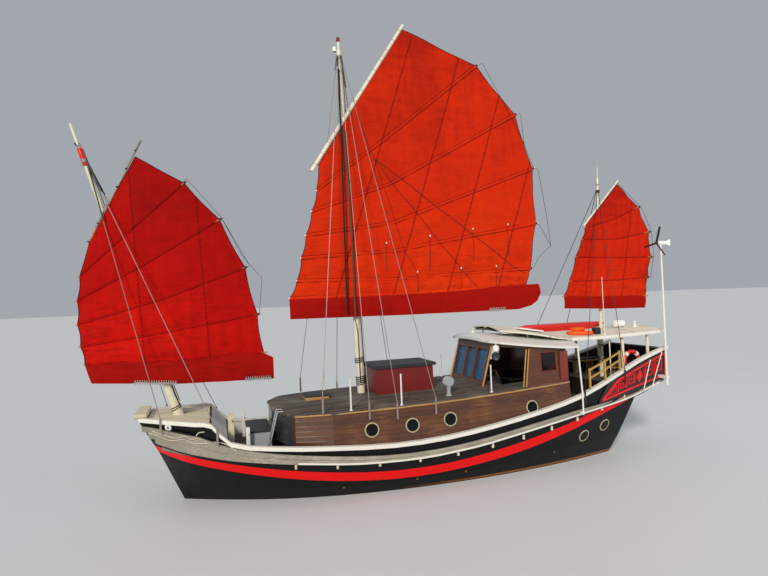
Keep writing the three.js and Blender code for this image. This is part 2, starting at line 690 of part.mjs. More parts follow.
// The awning's sheet, or with a bottom given the whole space below its top
function awningSheet(bottom) {
  const across = [-1, -0.6, -0.2, 0.2, 0.6, 1];
  const sheet = loft(AWNING.map((row) => {
    const rise = (f) => row.z + AWNING_CROWN * at(AWNING_ARCH, "f", Math.abs(f), "h");
    const high = across.map((f) => [row.x, row.half * f, rise(f) + AWNING_THICK]);
    const low = across.map((f) => [row.x, row.half * f, bottom ?? rise(f)]);
    return [...low, ...high.reverse()];
  }));
  if (bottom) return sheet;
  const trims = [];
  for (const side of [-1, 1]) {
    trims.push(loft(AWNING.slice(FASCIA_ROW).map((row, i, rows) => {
      const x = i === rows.length - 1 ? row.x + FASCIA_LAP : row.x;
      const y0 = side * (row.half - 40);
      const y1 = side * (row.half + 12);
      return [[x, y0, row.z - 30], [x, y1, row.z - 30],
        [x, y1, row.z + FASCIA - 30], [x, y0, row.z + FASCIA - 30]];
    })));
  }
  return union([sheet, ...trims]);
}

// Posts under the awning: x, radius
const AWNING_POSTS = [[5790, 18], [6225, 46], [7090, 46]];
const POST_Y = 1120;
function awningFrame() {
  const parts = [];
  const under = (x, y) => awningZ(x, y) - 0.4;
  const rings = [];
  for (const x of [4520, 5600, 6500, 7450]) {
    const [outer, inner] = [-POST_Y - 25, -POST_Y + 25];
    const low = under(x, outer) - 55;
    rings.push([[x, outer, low], [x, inner, low], [x, inner, under(x, inner)], [x, outer, under(x, outer)]]);
  }
  parts.push(loft(rings));
  for (const [x, r] of AWNING_POSTS) {
    parts.push(rod([x, -POST_Y, POOP_Z + GAP], [x, -POST_Y, under(x, POST_Y) - 20], r, r, 12));
  }
  return union(parts);
}

// Legs that carry the awning on the wheelhouse roof
const LEG_SPOTS = [[2650, 560], [3350, 800], [4150, 900]];
const legs = [];
for (const [x, y] of LEG_SPOTS) {
  for (const side of [-1, 1]) {
    legs.push(rod([x, side * y, 3300], [x, side * y, awningZ(x, y) + 20], 20, 20, 8));
  }
}
const MIZZEN_MAST = { foot: [6330, 0, POOP_Z + GAP], head: [6485, 0, 8180], r0: 62, r1: 34 };
let awning = union([awningSheet(), ...legs]);
awning = awning.subtract(roofDome(2800).translate([0, 0, GAP]));
awning = awning.subtract(rod(MIZZEN_MAST.foot, MIZZEN_MAST.head, 72, 72, MAST_SIDES));

// Side poles from the wale up past the rail to the wheelhouse roof
const POLE = { x: 4290, y: -1880, r: 22, bend: 2020, headX: 4320, headY: -1690 };
function sidePole() {
  const footZ = at(waleRows, "x", POLE.x, "zb") + 20;
  const parts = [
    rod([POLE.x, POLE.y, footZ], [POLE.x, POLE.y, POLE.bend], POLE.r, POLE.r, 10),
    rod([POLE.x, POLE.y, POLE.bend - 12], [POLE.headX, POLE.headY, 3400], POLE.r, POLE.r, 10),
    box(POLE.x - 45, POLE.x + 45, POLE.y, POLE.y + 110, footZ + 20, footZ + 80),
  ];
  const aboveRoof = roofDome(undefined, 4200).translate([0, 0, -GAP]);
  return union(parts).subtract(walePort).subtract(walePort.translate([0, -GAP, 0])).subtract(aboveRoof).subtract(mirrored(aboveRoof));
}

// After railing: x of each post, and rail heights above the cap
const RAIL_POSTS = [4640, 5200, 5770];
const RAIL_HEIGHTS = [300, 520];
function railing() {
  const parts = [];
  const y = (x) => -(railHalf(x) - 30);
  const foot = (x) => railZ(x) + CAP_HIGH;
  for (const x of RAIL_POSTS) {
    const z = foot(x) + GAP + 6;
    parts.push(box(x - 22, x + 22, y(x) - 22, y(x) + 22, z, z + 560));
  }
  for (const high of RAIL_HEIGHTS) {
    const rings = [];
    for (const x of [4610, 5200, 5800]) {
      const z = foot(x) + high;
      const side = y(x);
      rings.push([[x, side - 20, z - 22], [x, side + 20, z - 22], [x, side + 20, z + 22], [x, side - 20, z + 22]]);
    }
    parts.push(loft(rings));
  }
  return union(parts).subtract(railCapPort);
}

// Name board on the quarter, blank: x, lower and upper margins to wale and cap
const BOARD_X0 = 4960;
const BOARD_OUT = 30;
function nameBoard() {
  const rows = [BOARD_X0, 5260, 6000, 6800, 7560];
  return loft(rows.map((x, i) => {
    const z0 = at(waleRows, "x", x, "zt") + 25;
    const z1 = i === 0 ? z0 + 60 : railZ(x) - CAP_DROP - 30;
    const y0 = -(sideHalf(x, z0) + BOARD_OUT);
    const y1 = -(sideHalf(x, z1) + BOARD_OUT);
    return [[x, y0 + 60, z0], [x, y0, z0], [x, y1, z1], [x, y1 + 60, z1]];
  })).subtract(hullGrown);
}

// Foredeck pieces
const samsonPost = union([
  box(-4790, -4650, -70, 70, FORE_WELL_Z + GAP, 1960),
  rod([-4720, -190, 1830], [-4720, 190, 1830], 24, 24, 10),
]);
const LOCKER = { x0: -4330, x1: -3800, y0: -900, y1: 450, z1: 1620 };
const locker = box(LOCKER.x0, LOCKER.x1, LOCKER.y0, LOCKER.y1, FORE_WELL_Z + GAP, LOCKER.z1)
  .subtract(box(LOCKER.x0 + 40, LOCKER.x1 - 40, LOCKER.y0 + 40, LOCKER.y1 - 40, FORE_WELL_Z + 45, LOCKER.z1 + 10));
const LID_HINGE = [LOCKER.x1 + 12, 0, LOCKER.z1 + 22];
const lockerLid = union([
  box(LOCKER.x0 - 25, LOCKER.x1 + 4, LOCKER.y0 - 25, LOCKER.y1 + 25, LOCKER.z1 + GAP, LOCKER.z1 + 45),
  rod([LID_HINGE[0], LOCKER.y0 + 80, LID_HINGE[2]], [LID_HINGE[0], LOCKER.y1 - 80, LID_HINGE[2]], 14, 14, 10),
]);
const LADDER = { y0: -1250, y1: -960, footX: -3930, topX: -3672, topZ: 2135, hookX: -3540, rungs: 3 };
function ladder() {
  const footZ = FORE_WELL_Z + 20;
  const parts = [];
  for (const y of [LADDER.y0, LADDER.y1]) {
    parts.push(rod([LADDER.footX, y, footZ], [LADDER.topX, y, LADDER.topZ], 17, 17, 8));
    parts.push(rod([LADDER.topX - 6, y, LADDER.topZ - 3], [LADDER.hookX, y, LADDER.topZ - 3], 17, 17, 8));
  }
  for (let i = 1; i <= LADDER.rungs; i += 1) {
    const t = i / (LADDER.rungs + 0.7);
    const x = LADDER.footX + (LADDER.topX - LADDER.footX) * t;
    const z = footZ + (LADDER.topZ - footZ) * t;
    parts.push(rod([x, LADDER.y0, z], [x, LADDER.y1, z], 14, 14, 8));
  }
  return union(parts).subtract(underRoof);
}

// Masts
const FORE_MAST = { foot: [-5960, 0, 2090], head: [-8170, 0, 9190], r0: 118, r1: 32 };
function mastPoint(mast, z) {
  const t = (z - mast.foot[2]) / (mast.head[2] - mast.foot[2]);
  return [mast.foot[0] + (mast.head[0] - mast.foot[0]) * t, 0, z];
}
function mastRadius(mast, z) {
  const t = (z - mast.foot[2]) / (mast.head[2] - mast.foot[2]);
  return mast.r0 + (mast.r1 - mast.r0) * t;
}
function mastSolid(mast, floor) {
  const low = mastPoint(mast, mast.foot[2] - 150);
  return rod(low, mast.head, mastRadius(mast, low[2]), mast.r1, MAST_SIDES)
    .subtract(box(low[0] - 900, low[0] + 900, -900, 900, floor - 900, floor));
}
const foreMast = mastSolid(FORE_MAST, railZ(-6100)).subtract(platform(-300).translate([0, 0, GAP]));
const mainMast = union([
  mastSolid(MAIN_MAST, railZ(-1265) + 4),
  rod(mastPoint(MAIN_MAST, 11470), [-1562, 0, 11720], 40, 40, 12),
]);
const mizzenMast = union([
  mastSolid(MIZZEN_MAST, POOP_Z + GAP),
  rod(mastPoint(MIZZEN_MAST, 8170), [6495, 0, 8520], 14, 10, 8),
]);

// Sails lie on the port side of their masts, in planes parallel to the centreline.
// corners: outline [x, z]; battens: [x, z] at leech and at luff; yard: [x, z] at both ends; bend: mast crossing
const SAILS = {
  fore: {
    mast: FORE_MAST,
    y: -130,
    yard: [[-7830, 6330], [-6600, 8810]],
    yardR: 32,
    battenR: 20,
    corners: [
      [-6740, 8400], [-5640, 7780], [-4820, 6870], [-4240, 5650], [-3980, 4450], [-3850, 3470],
      [-3610, 3330], [-3600, 2870], [-3730, 2760], [-7830, 2880], [-7960, 3400], [-8070, 3890],
      [-8120, 4450], [-8110, 5090], [-8040, 5530], [-7790, 6410],
    ],
    battens: [
      [[-5640, 7780], [-6800, 6690], [-8040, 5530]],
      [[-4820, 6870], [-6600, 5780], [-8110, 4960]],
      [[-4240, 5650], [-6100, 4960], [-8120, 4400]],
      [[-3980, 4450], [-6400, 4080], [-8070, 3880]],
      [[-3850, 3470], [-5850, 3410], [-7990, 3440]],
    ],
    bands: [7005, 3900],
  },
  main: {
    mast: MAIN_MAST,
    y: -150,
    yard: [[-2450, 8150], [260, 12280]],
    yardR: 58,
    battenR: 26,
    corners: [
      [220, 12160], [2440, 11300], [3630, 9950], [4130, 8370], [4160, 6750], [3930, 5420], [3770, 4940],
      [4140, 4990], [4120, 4690], [3720, 4340], [3010, 4225], [-3150, 4270], [-3160, 4800],
      [-2940, 5280], [-2810, 5860], [-2660, 6450], [-2480, 7090], [-2330, 7640], [-2250, 8330],
    ],
    battens: [
      [[2440, 11300], [-380, 9080], [-2330, 7640]],
      [[3630, 9950], [-340, 7820], [-2480, 7090]],
      [[4130, 8370], [-300, 6760], [-2660, 6450]],
      [[4160, 6750], [-280, 6000], [-2810, 5860]],
      [[3930, 5430], [-200, 5230], [-2940, 5270]],
    ],
    bands: [9620, 5250],
  },
  mizzen: {
    mast: MIZZEN_MAST,
    y: -88,
    yard: [[5850, 6680], [7170, 8090]],
    yardR: 30,
    battenR: 16,
    corners: [
      [7120, 7970], [7880, 7260], [8230, 6480], [8270, 5690], [8110, 5050], [8000, 4470], [7940, 4090],
      [5260, 4230], [5020, 4360], [5060, 4560], [5260, 5010], [5520, 5740], [5770, 6310], [5930, 6700],
    ],
    battens: [
      [[7880, 7260], [6900, 6880], [5890, 6610]],
      [[8230, 6480], [7000, 6270], [5750, 6260]],
      [[8270, 5690], [6900, 5690], [5510, 5740]],
      [[8110, 5050], [6800, 5000], [5250, 5010]],
      [[8000, 4470], [6500, 4500], [5040, 4560]],
    ],
    bands: [7330, 5005],
  },
};

// Parrel band round the mast, with a lug that reaches the sail plane
function band(sail, z, high) {
  const low = mastPoint(sail.mast, z - high / 2);
  const top = mastPoint(sail.mast, z + high / 2);
  const inner = mastRadius(sail.mast, z - high / 2) + RUNNING;
  const middle = mastPoint(sail.mast, z);
  const lug = rod([middle[0], -inner - 7, z], [middle[0], sail.y + 3, z], 16, 16, 10);
  return ring(low, top, inner, inner + 14).add(lug);
}

// A mast with a margin all round, for cutting what goes about it
function mastSpace(mast) {
  const low = mastPoint(mast, mast.foot[2]);
  return rod(low, mast.head, mast.r0 + GAP, mast.r1 + GAP, MAST_SIDES);
}

function makeSail(sail) {
  const [lower, upper] = sail.yard;
  const yardRod = rod([lower[0], sail.y, lower[1]], [upper[0], sail.y, upper[1]], sail.yardR, sail.yardR * 0.8, 12);
  const yardWide = rod([lower[0], sail.y, lower[1]], [upper[0], sail.y, upper[1]],
    sail.yardR + 2 * GAP, sail.yardR * 0.8 + 2 * GAP, 12);
  const [yardBand, battenBand] = sail.bands;
  const yard = yardRod.add(band(sail, yardBand, 70));
  const parts = [plate(sail.corners, sail.y - CLOTH / 2, sail.y + CLOTH / 2)];
  for (const points of sail.battens) {
    for (let i = 0; i + 1 < points.length; i += 1) {
      const a = [points[i][0], sail.y - sail.battenR + 2, points[i][1]];
      const b = [points[i + 1][0], sail.y - sail.battenR + 2, points[i + 1][1]];
      parts.push(rod(a, b, sail.battenR, sail.battenR, 6));
    }
    const m = points[1];
    parts.push(rod([m[0], sail.y - sail.battenR - 10, m[1]], [m[0], sail.y + 2, m[1]], sail.battenR, sail.battenR, 6));
  }
  let cloth = union(parts).subtract(yardWide);
  cloth = cloth.add(band(sail, battenBand, 60));
  const space = mastSpace(sail.mast);
  return { cloth: cloth.subtract(space), yard: yard.subtract(space) };
}

// Main stays: masthead band and lines down to plates on the cabin sides and rail.
// z: height of the band; feet: [x, outward y, z] of each lower end
const STAYS = {
  fore: { mast: FORE_MAST, z: 8300, feet: [[-6300, 978, 2172], [-5060, 1550, 1890]] },
  main: { mast: MAIN_MAST, z: 11300, feet: [[-2680, 1800, 2480], [-1580, 1880, 2260],
    [-890, 1895, 2200], [100, 1900, 2230]] },
  mizzen: { mast: MIZZEN_MAST, z: 7760, feet: [[4390, 1855, 2010], [5880, 1612, 2440]] },
};
const PLATE_WIDE = 46;
const SHACKLE = 19;
// Lug from a chain plate inward to the hull side or to the name board on it
function chainLug(x, side, y, z) {
  const half = 14;
  const skin = Math.max(...[x - half, x + half].flatMap((q) => [z, z + 40].map((h) => sideHalf(q, h))));
  const inner = skin + (x > BOARD_X0 ? BOARD_OUT : 0) + 0.8;
  return box(x - half, x + half, side > 0 ? inner : -y, side > 0 ? y : -inner, z, z + 40);
}
function stays(name) {
  const set = STAYS[name];
  const radius = mastRadius(set.mast, set.z - 40) + RUNNING;
  const parts = [ring(mastPoint(set.mast, set.z - 40), mastPoint(set.mast, set.z + 40), radius, radius + 24)];
  const start = mastPoint(set.mast, set.z);
  for (const [x, y, z] of set.feet) {
    for (const side of [-1, 1]) {
      const foot = [x, side * y, z];
      const away = vec(foot).sub(vec(start)).setZ(0).normalize().multiplyScalar(radius + 13);
      parts.push(rod([start[0] + away.x, away.y, start[2]], foot, LINE_R, LINE_R, 6));
      const plateFoot = z - (name === "main" ? 390 : 330);
      parts.push(box(x - PLATE_WIDE / 2, x + PLATE_WIDE / 2, side > 0 ? y - 7 : -y - 7, side > 0 ? y + 7 : -y + 7,
        plateFoot, z));
      parts.push(box(x - SHACKLE, x + SHACKLE, side * y - SHACKLE, side * y + SHACKLE, z - 20, z + 24));
      if (name === "mizzen") parts.push(chainLug(x, side, y, plateFoot + 15));
    }
  }
  return union(parts);
}

// Gear on the awning and quarter
const boat = [
  { x: 3720, half: 40, low: 150, high: 210 },
  { x: 4100, half: 250, low: 60, high: 240 },
  { x: 4700, half: 360, low: 20, high: 235 },
  { x: 5400, half: 370, low: 20, high: 235 },
  { x: 6000, half: 300, low: 40, high: 240 },
  { x: 6400, half: 225, low: 90, high: 238 },
  { x: 6720, half: 70, low: 160, high: 225 },
];
const TENDER_Y = 330;
function tender() {
  const base = awningZ(4900, 0) + AWNING_THICK - 36;
  return loft(boat.map((row) => [
    [row.x, TENDER_Y - row.half * 0.7, base + row.low], [row.x, TENDER_Y - row.half, base + row.high - 60],
    [row.x, TENDER_Y - row.half * 0.8, base + row.high], [row.x, TENDER_Y + row.half * 0.8, base + row.high],
    [row.x, TENDER_Y + row.half, base + row.high - 60], [row.x, TENDER_Y + row.half * 0.7, base + row.low],
  ])).subtract(awningSheet(3000).translate([0, 0, GAP]));
}
const RING_AT = [6600, -1015.7, 2640];
const lifeRing = solid(new THREE.TorusGeometry(240, 58, 8, 20).rotateX(Math.PI / 2))
  .translate(RING_AT);
const namePlate = nameBoard();
const WIND = { x: 7300, y: -1600, foot: 1930, head: 5900 };
const windPole = union([
  rod([WIND.x, WIND.y, WIND.foot], [WIND.x, WIND.y, WIND.head], 30, 24, 12),
  box(WIND.x - 42, WIND.x + 42, WIND.y - 40, WIND.y + 328, 2110, 2190),
]).subtract(hullGrown).subtract(namePlate).subtract(namePlate.translate([0, -GAP, 0]));
const HEAD_Z = WIND.head + GAP;
const windHead = union([
  rod([WIND.x, WIND.y, HEAD_Z], [WIND.x, WIND.y, HEAD_Z + 60], 32, 32, 12),
  rod([WIND.x - 120, WIND.y, HEAD_Z + 90], [WIND.x + 130, WIND.y, HEAD_Z + 90], 52, 62, 12),
  plate([[WIND.x + 120, HEAD_Z + 70], [WIND.x + 330, HEAD_Z + 10], [WIND.x + 330, HEAD_Z + 200],
    [WIND.x + 120, HEAD_Z + 110]], WIND.y - 5, WIND.y + 5),
]);
const ROTOR_X = WIND.x - 120 - GAP;
function rotor() {
  const z = HEAD_Z + 90;
  const parts = [lathe([[0, 0], [50, 0], [42, 45], [0, 75]], [ROTOR_X, WIND.y, z], [ROTOR_X - 100, WIND.y, z], 16)];
  for (let i = 0; i < 3; i += 1) {
    const turn = 20 + 120 * i;
    const blade = plate([[-14, 20], [-22, 120], [-12, 480], [4, 480], [14, 120], [10, 20]], -30, 30);
    const thin = blade.scale([0.35, 1, 1]).rotate([0, 0, 24]).rotate([turn, 0, 0]);
    parts.push(thin.translate([ROTOR_X - 28, WIND.y, z]));
  }
  return union(parts);
}
const ANTENNA = { x: 5640, y: -1130 };
const ANTENNA_FOOT = awningZ(ANTENNA.x, 1130) + AWNING_THICK - 30;
const antenna = union([
  rod([ANTENNA.x, ANTENNA.y, ANTENNA_FOOT], [ANTENNA.x - 15, ANTENNA.y, 5090], 12, 7, 8),
  rod([ANTENNA.x, ANTENNA.y, ANTENNA_FOOT], [ANTENNA.x, ANTENNA.y, ANTENNA_FOOT + 90], 30, 24, 8),
]).subtract(awning.translate([0, 0, GAP]));

// Steering and drive
const rudder = union([
  rod([RUDDER_X, 0, SHOE_Z + GAP], [RUDDER_X, 0, -170], RUDDER_STOCK_R, RUDDER_STOCK_R, MAST_SIDES),
  plate([[RUDDER_X - 60, -1420], [RUDDER_X + 620, -1380], [RUDDER_X + 560, -600], [RUDDER_X - 60, -640]], -28, 28),
]);
const PROP_R = 290;
function propeller() {
  const parts = [
    rod([4210, 0, SHAFT_Z], [4980, 0, SHAFT_Z], SHAFT_R, SHAFT_R, MAST_SIDES),
    rod([4790, 0, SHAFT_Z], [4960, 0, SHAFT_Z], 62, 48, 16),
  ];
  for (let i = 0; i < 3; i += 1) {
    const blade = plate([[-60, 40], [-120, 180], [-70, PROP_R], [60, PROP_R], [110, 180], [50, 40]], -8, 8);
    parts.push(blade.rotate([0, 0, 38]).rotate([120 * i, 0, 0]).translate([4870, 0, SHAFT_Z]));
  }
  return union(parts);
}
const CONSOLE = { x0: 2420, x1: 2760, y0: -260, y1: 1000, z1: 2330 };
const consoleBox = box(CONSOLE.x0, CONSOLE.x1, CONSOLE.y0, CONSOLE.y1, 1400, CONSOLE.z1).subtract(hullGrown);
const WHEEL_AT = [CONSOLE.x1 + 110, 370, 2180];
function steeringWheel() {
  const parts = [
    solid(new THREE.TorusGeometry(270, 17, 6, 20).rotateY(Math.PI / 2)).translate(WHEEL_AT),
    rod([CONSOLE.x1 + GAP, WHEEL_AT[1], WHEEL_AT[2]], [WHEEL_AT[0] + 20, WHEEL_AT[1], WHEEL_AT[2]], 38, 34, 16),
  ];
  for (let i = 0; i < 6; i += 1) {
    const a = (Math.PI * i) / 3;
    const out = [Math.cos(a), Math.sin(a)];
    parts.push(rod(WHEEL_AT, [WHEEL_AT[0], WHEEL_AT[1] + 330 * out[0], WHEEL_AT[2] + 330 * out[1]], 12, 12, 8));
  }
  return union(parts);
}

// Colours
const PAINT = {
  black: [0x0d0d10, 0.45, 0.0],
  grey: [0x77736a, 0.85, 0.0],
  white: [0xe6e2d6, 0.5, 0.0],
  cream: [0xd9cda6, 0.6, 0.0],
  teak: [0x5a2d14, 0.55, 0.0],
  weathered: [0x4a4038, 0.85, 0.0],
  roof: [0xb9bdbd, 0.6, 0.0],
  red: [0xc4200f, 0.5, 0.0],
  sail: [0xd23205, 0.8, 0.0],
  foreSail: [0xb01a08, 0.8, 0.0],
  steel: [0xb0b2b4, 0.35, 0.9],
  bronze: [0x9a6a34, 0.4, 0.9],
  dark: [0x2b2e33, 0.7, 0.0],
  glass: [0x6f93ad, 0.1, 0.0],
  wood: [0xa67c45, 0.6, 0.0],
};

const group = new THREE.Group();
function addPart(name, shape, paint) {
  const [color, roughness, metalness] = PAINT[paint];
  const material = new THREE.MeshStandardMaterial({ color, roughness, metalness });
  const mesh = new THREE.Mesh(geometryOf(shape), material);
  mesh.name = name;
  group.add(mesh);
}

addPart("hull", hull, "black");
addPart("wale_port", walePort, "grey");
addPart("wale_starboard", mirrored(walePort), "grey");
addPart("rail_cap_port", railCapPort, "white");
addPart("rail_cap_starboard", mirrored(railCapPort), "white");
addPart("bow_beam", bowBeam, "cream");
addPart("foredeck_platform", platform(), "cream");
addPart("samson_post", samsonPost, "cream");
addPart("foredeck_locker", locker, "roof");
addPart("foredeck_locker_lid", lockerLid, "dark");
addPart("boarding_ladder", ladder(), "steel");
addPart("trunk_cabin", cabin, "teak");
addPart("cabin_roof", union([cabinRoof, ...stanchions()]), "weathered");
addPart("companion_house", house(), "red");
addPart("companion_roof", houseRoof, "dark");
addPart("wheelhouse", wheelhouse(), "teak");
addPart("windscreen", windscreen(), "glass");
addPart("wheelhouse_roof", dome, "roof");
addPart("helm_console", consoleBox, "dark");
addPart("steering_wheel", steeringWheel(), "wood");
addPart("awning", awning, "cream");
const framePort = awningFrame();
addPart("awning_frame_port", framePort, "cream");
addPart("awning_frame_starboard", mirrored(framePort), "cream");
const polePort = sidePole();
addPart("side_pole_port", polePort, "white");
addPart("side_pole_starboard", mirrored(polePort), "white");
const railingPort = railing();
addPart("after_railing_port", railingPort, "wood");
addPart("after_railing_starboard", mirrored(railingPort), "wood");
addPart("name_board_port", namePlate, "red");
addPart("name_board_starboard", mirrored(namePlate), "red");
addPart("life_ring", lifeRing, "red");
addPart("tender", tender(), "red");
addPart("wind_pole", windPole, "white");
addPart("wind_head", windHead, "white");
addPart("wind_rotor", rotor(), "dark");
addPart("whip_antenna", antenna, "white");
addPart("fore_mast", foreMast, "white");
addPart("main_mast", mainMast, "white");
addPart("mizzen_mast", mizzenMast, "white");
for (const name of Object.keys(SAILS)) {
  const { cloth, yard } = makeSail(SAILS[name]);
  addPart(`${name}_sail`, cloth, name === "fore" ? "foreSail" : "sail");
  addPart(`${name}_yard`, yard, "white");
  addPart(`${name}_stays`, stays(name), "steel");
}
addPart("rudder", rudder, "black");
addPart("propeller", propeller(), "bronze");

export default group;
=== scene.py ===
"""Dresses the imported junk: cloth sails, spars, rigging, timber, paint and deck gear, in metres.

X runs from bow (-) to stern (+), +Y is starboard, +Z is up, and z = 0 is the waterline.
"""

import json
import logging
import math
from collections.abc import Callable, Sequence
from dataclasses import dataclass
from enum import Enum
from functools import partial

import bpy
from mathutils import Matrix, Vector

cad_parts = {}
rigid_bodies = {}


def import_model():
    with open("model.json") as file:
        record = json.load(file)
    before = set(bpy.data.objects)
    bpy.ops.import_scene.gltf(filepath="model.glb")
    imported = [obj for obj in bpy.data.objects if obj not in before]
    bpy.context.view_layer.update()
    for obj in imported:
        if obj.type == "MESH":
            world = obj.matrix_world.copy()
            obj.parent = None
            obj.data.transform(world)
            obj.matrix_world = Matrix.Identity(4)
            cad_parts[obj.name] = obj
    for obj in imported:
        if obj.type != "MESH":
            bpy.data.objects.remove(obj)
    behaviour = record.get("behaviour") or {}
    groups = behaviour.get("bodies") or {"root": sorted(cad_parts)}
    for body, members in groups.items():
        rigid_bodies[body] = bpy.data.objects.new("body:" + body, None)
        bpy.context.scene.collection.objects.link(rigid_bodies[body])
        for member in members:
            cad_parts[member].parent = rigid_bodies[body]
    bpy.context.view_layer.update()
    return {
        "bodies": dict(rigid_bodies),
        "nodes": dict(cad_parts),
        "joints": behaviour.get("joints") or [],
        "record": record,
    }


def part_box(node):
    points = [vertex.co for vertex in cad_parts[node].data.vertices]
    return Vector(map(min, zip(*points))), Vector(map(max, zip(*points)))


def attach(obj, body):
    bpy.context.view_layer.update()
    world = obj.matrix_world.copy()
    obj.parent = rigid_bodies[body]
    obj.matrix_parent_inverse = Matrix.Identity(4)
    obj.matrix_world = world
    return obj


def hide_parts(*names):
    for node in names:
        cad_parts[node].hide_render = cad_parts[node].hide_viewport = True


LOG = logging.getLogger("junk")
UP = Vector((0, 0, 1))
Point = Sequence[float]
Row = tuple[tuple[float, float], ...]
Colour = tuple[float, float, float]


def shade(code: str, share: float = 1.0, lift: float = 0.0) -> Colour:
    """Turns a six-digit display colour into linear red, green and blue.

    Args:
        code: The colour as six hexadecimal digits.
        share: How much of it is left, so that it gets darker or lighter.
        lift: What is added to each channel.

    Returns:
        Three linear channel values.
    """
    channels = [int(code[i : i + 2], 16) / 255 for i in (0, 2, 4)]
    linear = [c / 12.92 if c <= 0.04045 else ((c + 0.055) / 1.055) ** 2.4 for c in channels]
    return tuple(c * share + lift for c in linear)


class Body(str, Enum):
    """Bodies of the frame that pieces ride on."""

    BOAT = "boat"
    FORE = "fore_rig"
    MAIN = "main_rig"
    MIZZEN = "mizzen_rig"


class Side(Enum):
    """Sides of the boat, with the sign of Y."""

    PORT = -1
    STARBOARD = 1

    @property
    def tag(self) -> str:
        """Gives the ending of names on this side."""
        return self.name.lower()


def operator(name: str, turned: bool = False) -> Callable[..., "Flow"]:
    """Makes an operator of Flow.

    Args:
        name: The Math node's operation.
        turned: Whether the terms change places.

    Returns:
        The method.
    """

    def method(*terms: "Flow | float") -> "Flow":
        """Adds the node."""
        return terms[0].maths(name, *(terms[::-1] if turned else terms))

    return method


class Flow:
    """A shader socket that is used as a number in Python expressions."""

    __add__ = operator("ADD")
    __radd__ = operator("ADD", True)
    __sub__ = operator("SUBTRACT")
    __rsub__ = operator("SUBTRACT", True)
    __mul__ = operator("MULTIPLY")
    __truediv__ = operator("DIVIDE")
    __gt__ = operator("GREATER_THAN")
    __lt__ = operator("LESS_THAN")
    __abs__ = operator("ABSOLUTE")
    least = operator("MINIMUM")
    most = operator("MAXIMUM")
    floor = operator("FLOOR")
    fraction = operator("FRACT")
    sign = operator("SIGN")
    sine = operator("SINE")

    def __init__(self, tree: bpy.types.NodeTree, socket: bpy.types.NodeSocket) -> None:
        """Keeps the node tree and the socket."""
        self.tree = tree
        self.socket = socket

    def maths(self, operation: str, *terms: "Flow | float") -> "Flow":
        """Adds one Math node.

        Args:
            operation: The Math node's operation.
            terms: Flows or numbers for its sockets in order.

        Returns:
            The node's result.
        """
        node = self.tree.nodes.new("ShaderNodeMath")
        node.operation = operation
        for plug, term in zip(node.inputs, terms):
            if isinstance(term, Flow):
                self.tree.links.new(term.socket, plug)
            else:
                plug.default_value = float(term)
        return Flow(self.tree, node.outputs[0])

    def ramp(self, low: float, high: float) -> "Flow":
        """Rises from 0 at low to 1 at high and stays between them.

        Args:
            low: Value that gives 0.
            high: Value that gives 1.

        Returns:
            The clamped ramp.
        """
        node = self.tree.nodes.new("ShaderNodeMapRange")
        self.tree.links.new(self.socket, node.inputs["Value"])
        node.inputs["From Min"].default_value = low
        node.inputs["From Max"].default_value = high
        return Flow(self.tree, node.outputs["Result"])

    def edge(self) -> "Flow":
        """Gives how far a fraction is from its nearer end, 0 at both and 0.5 in the middle."""
        return self.least(1 - self)


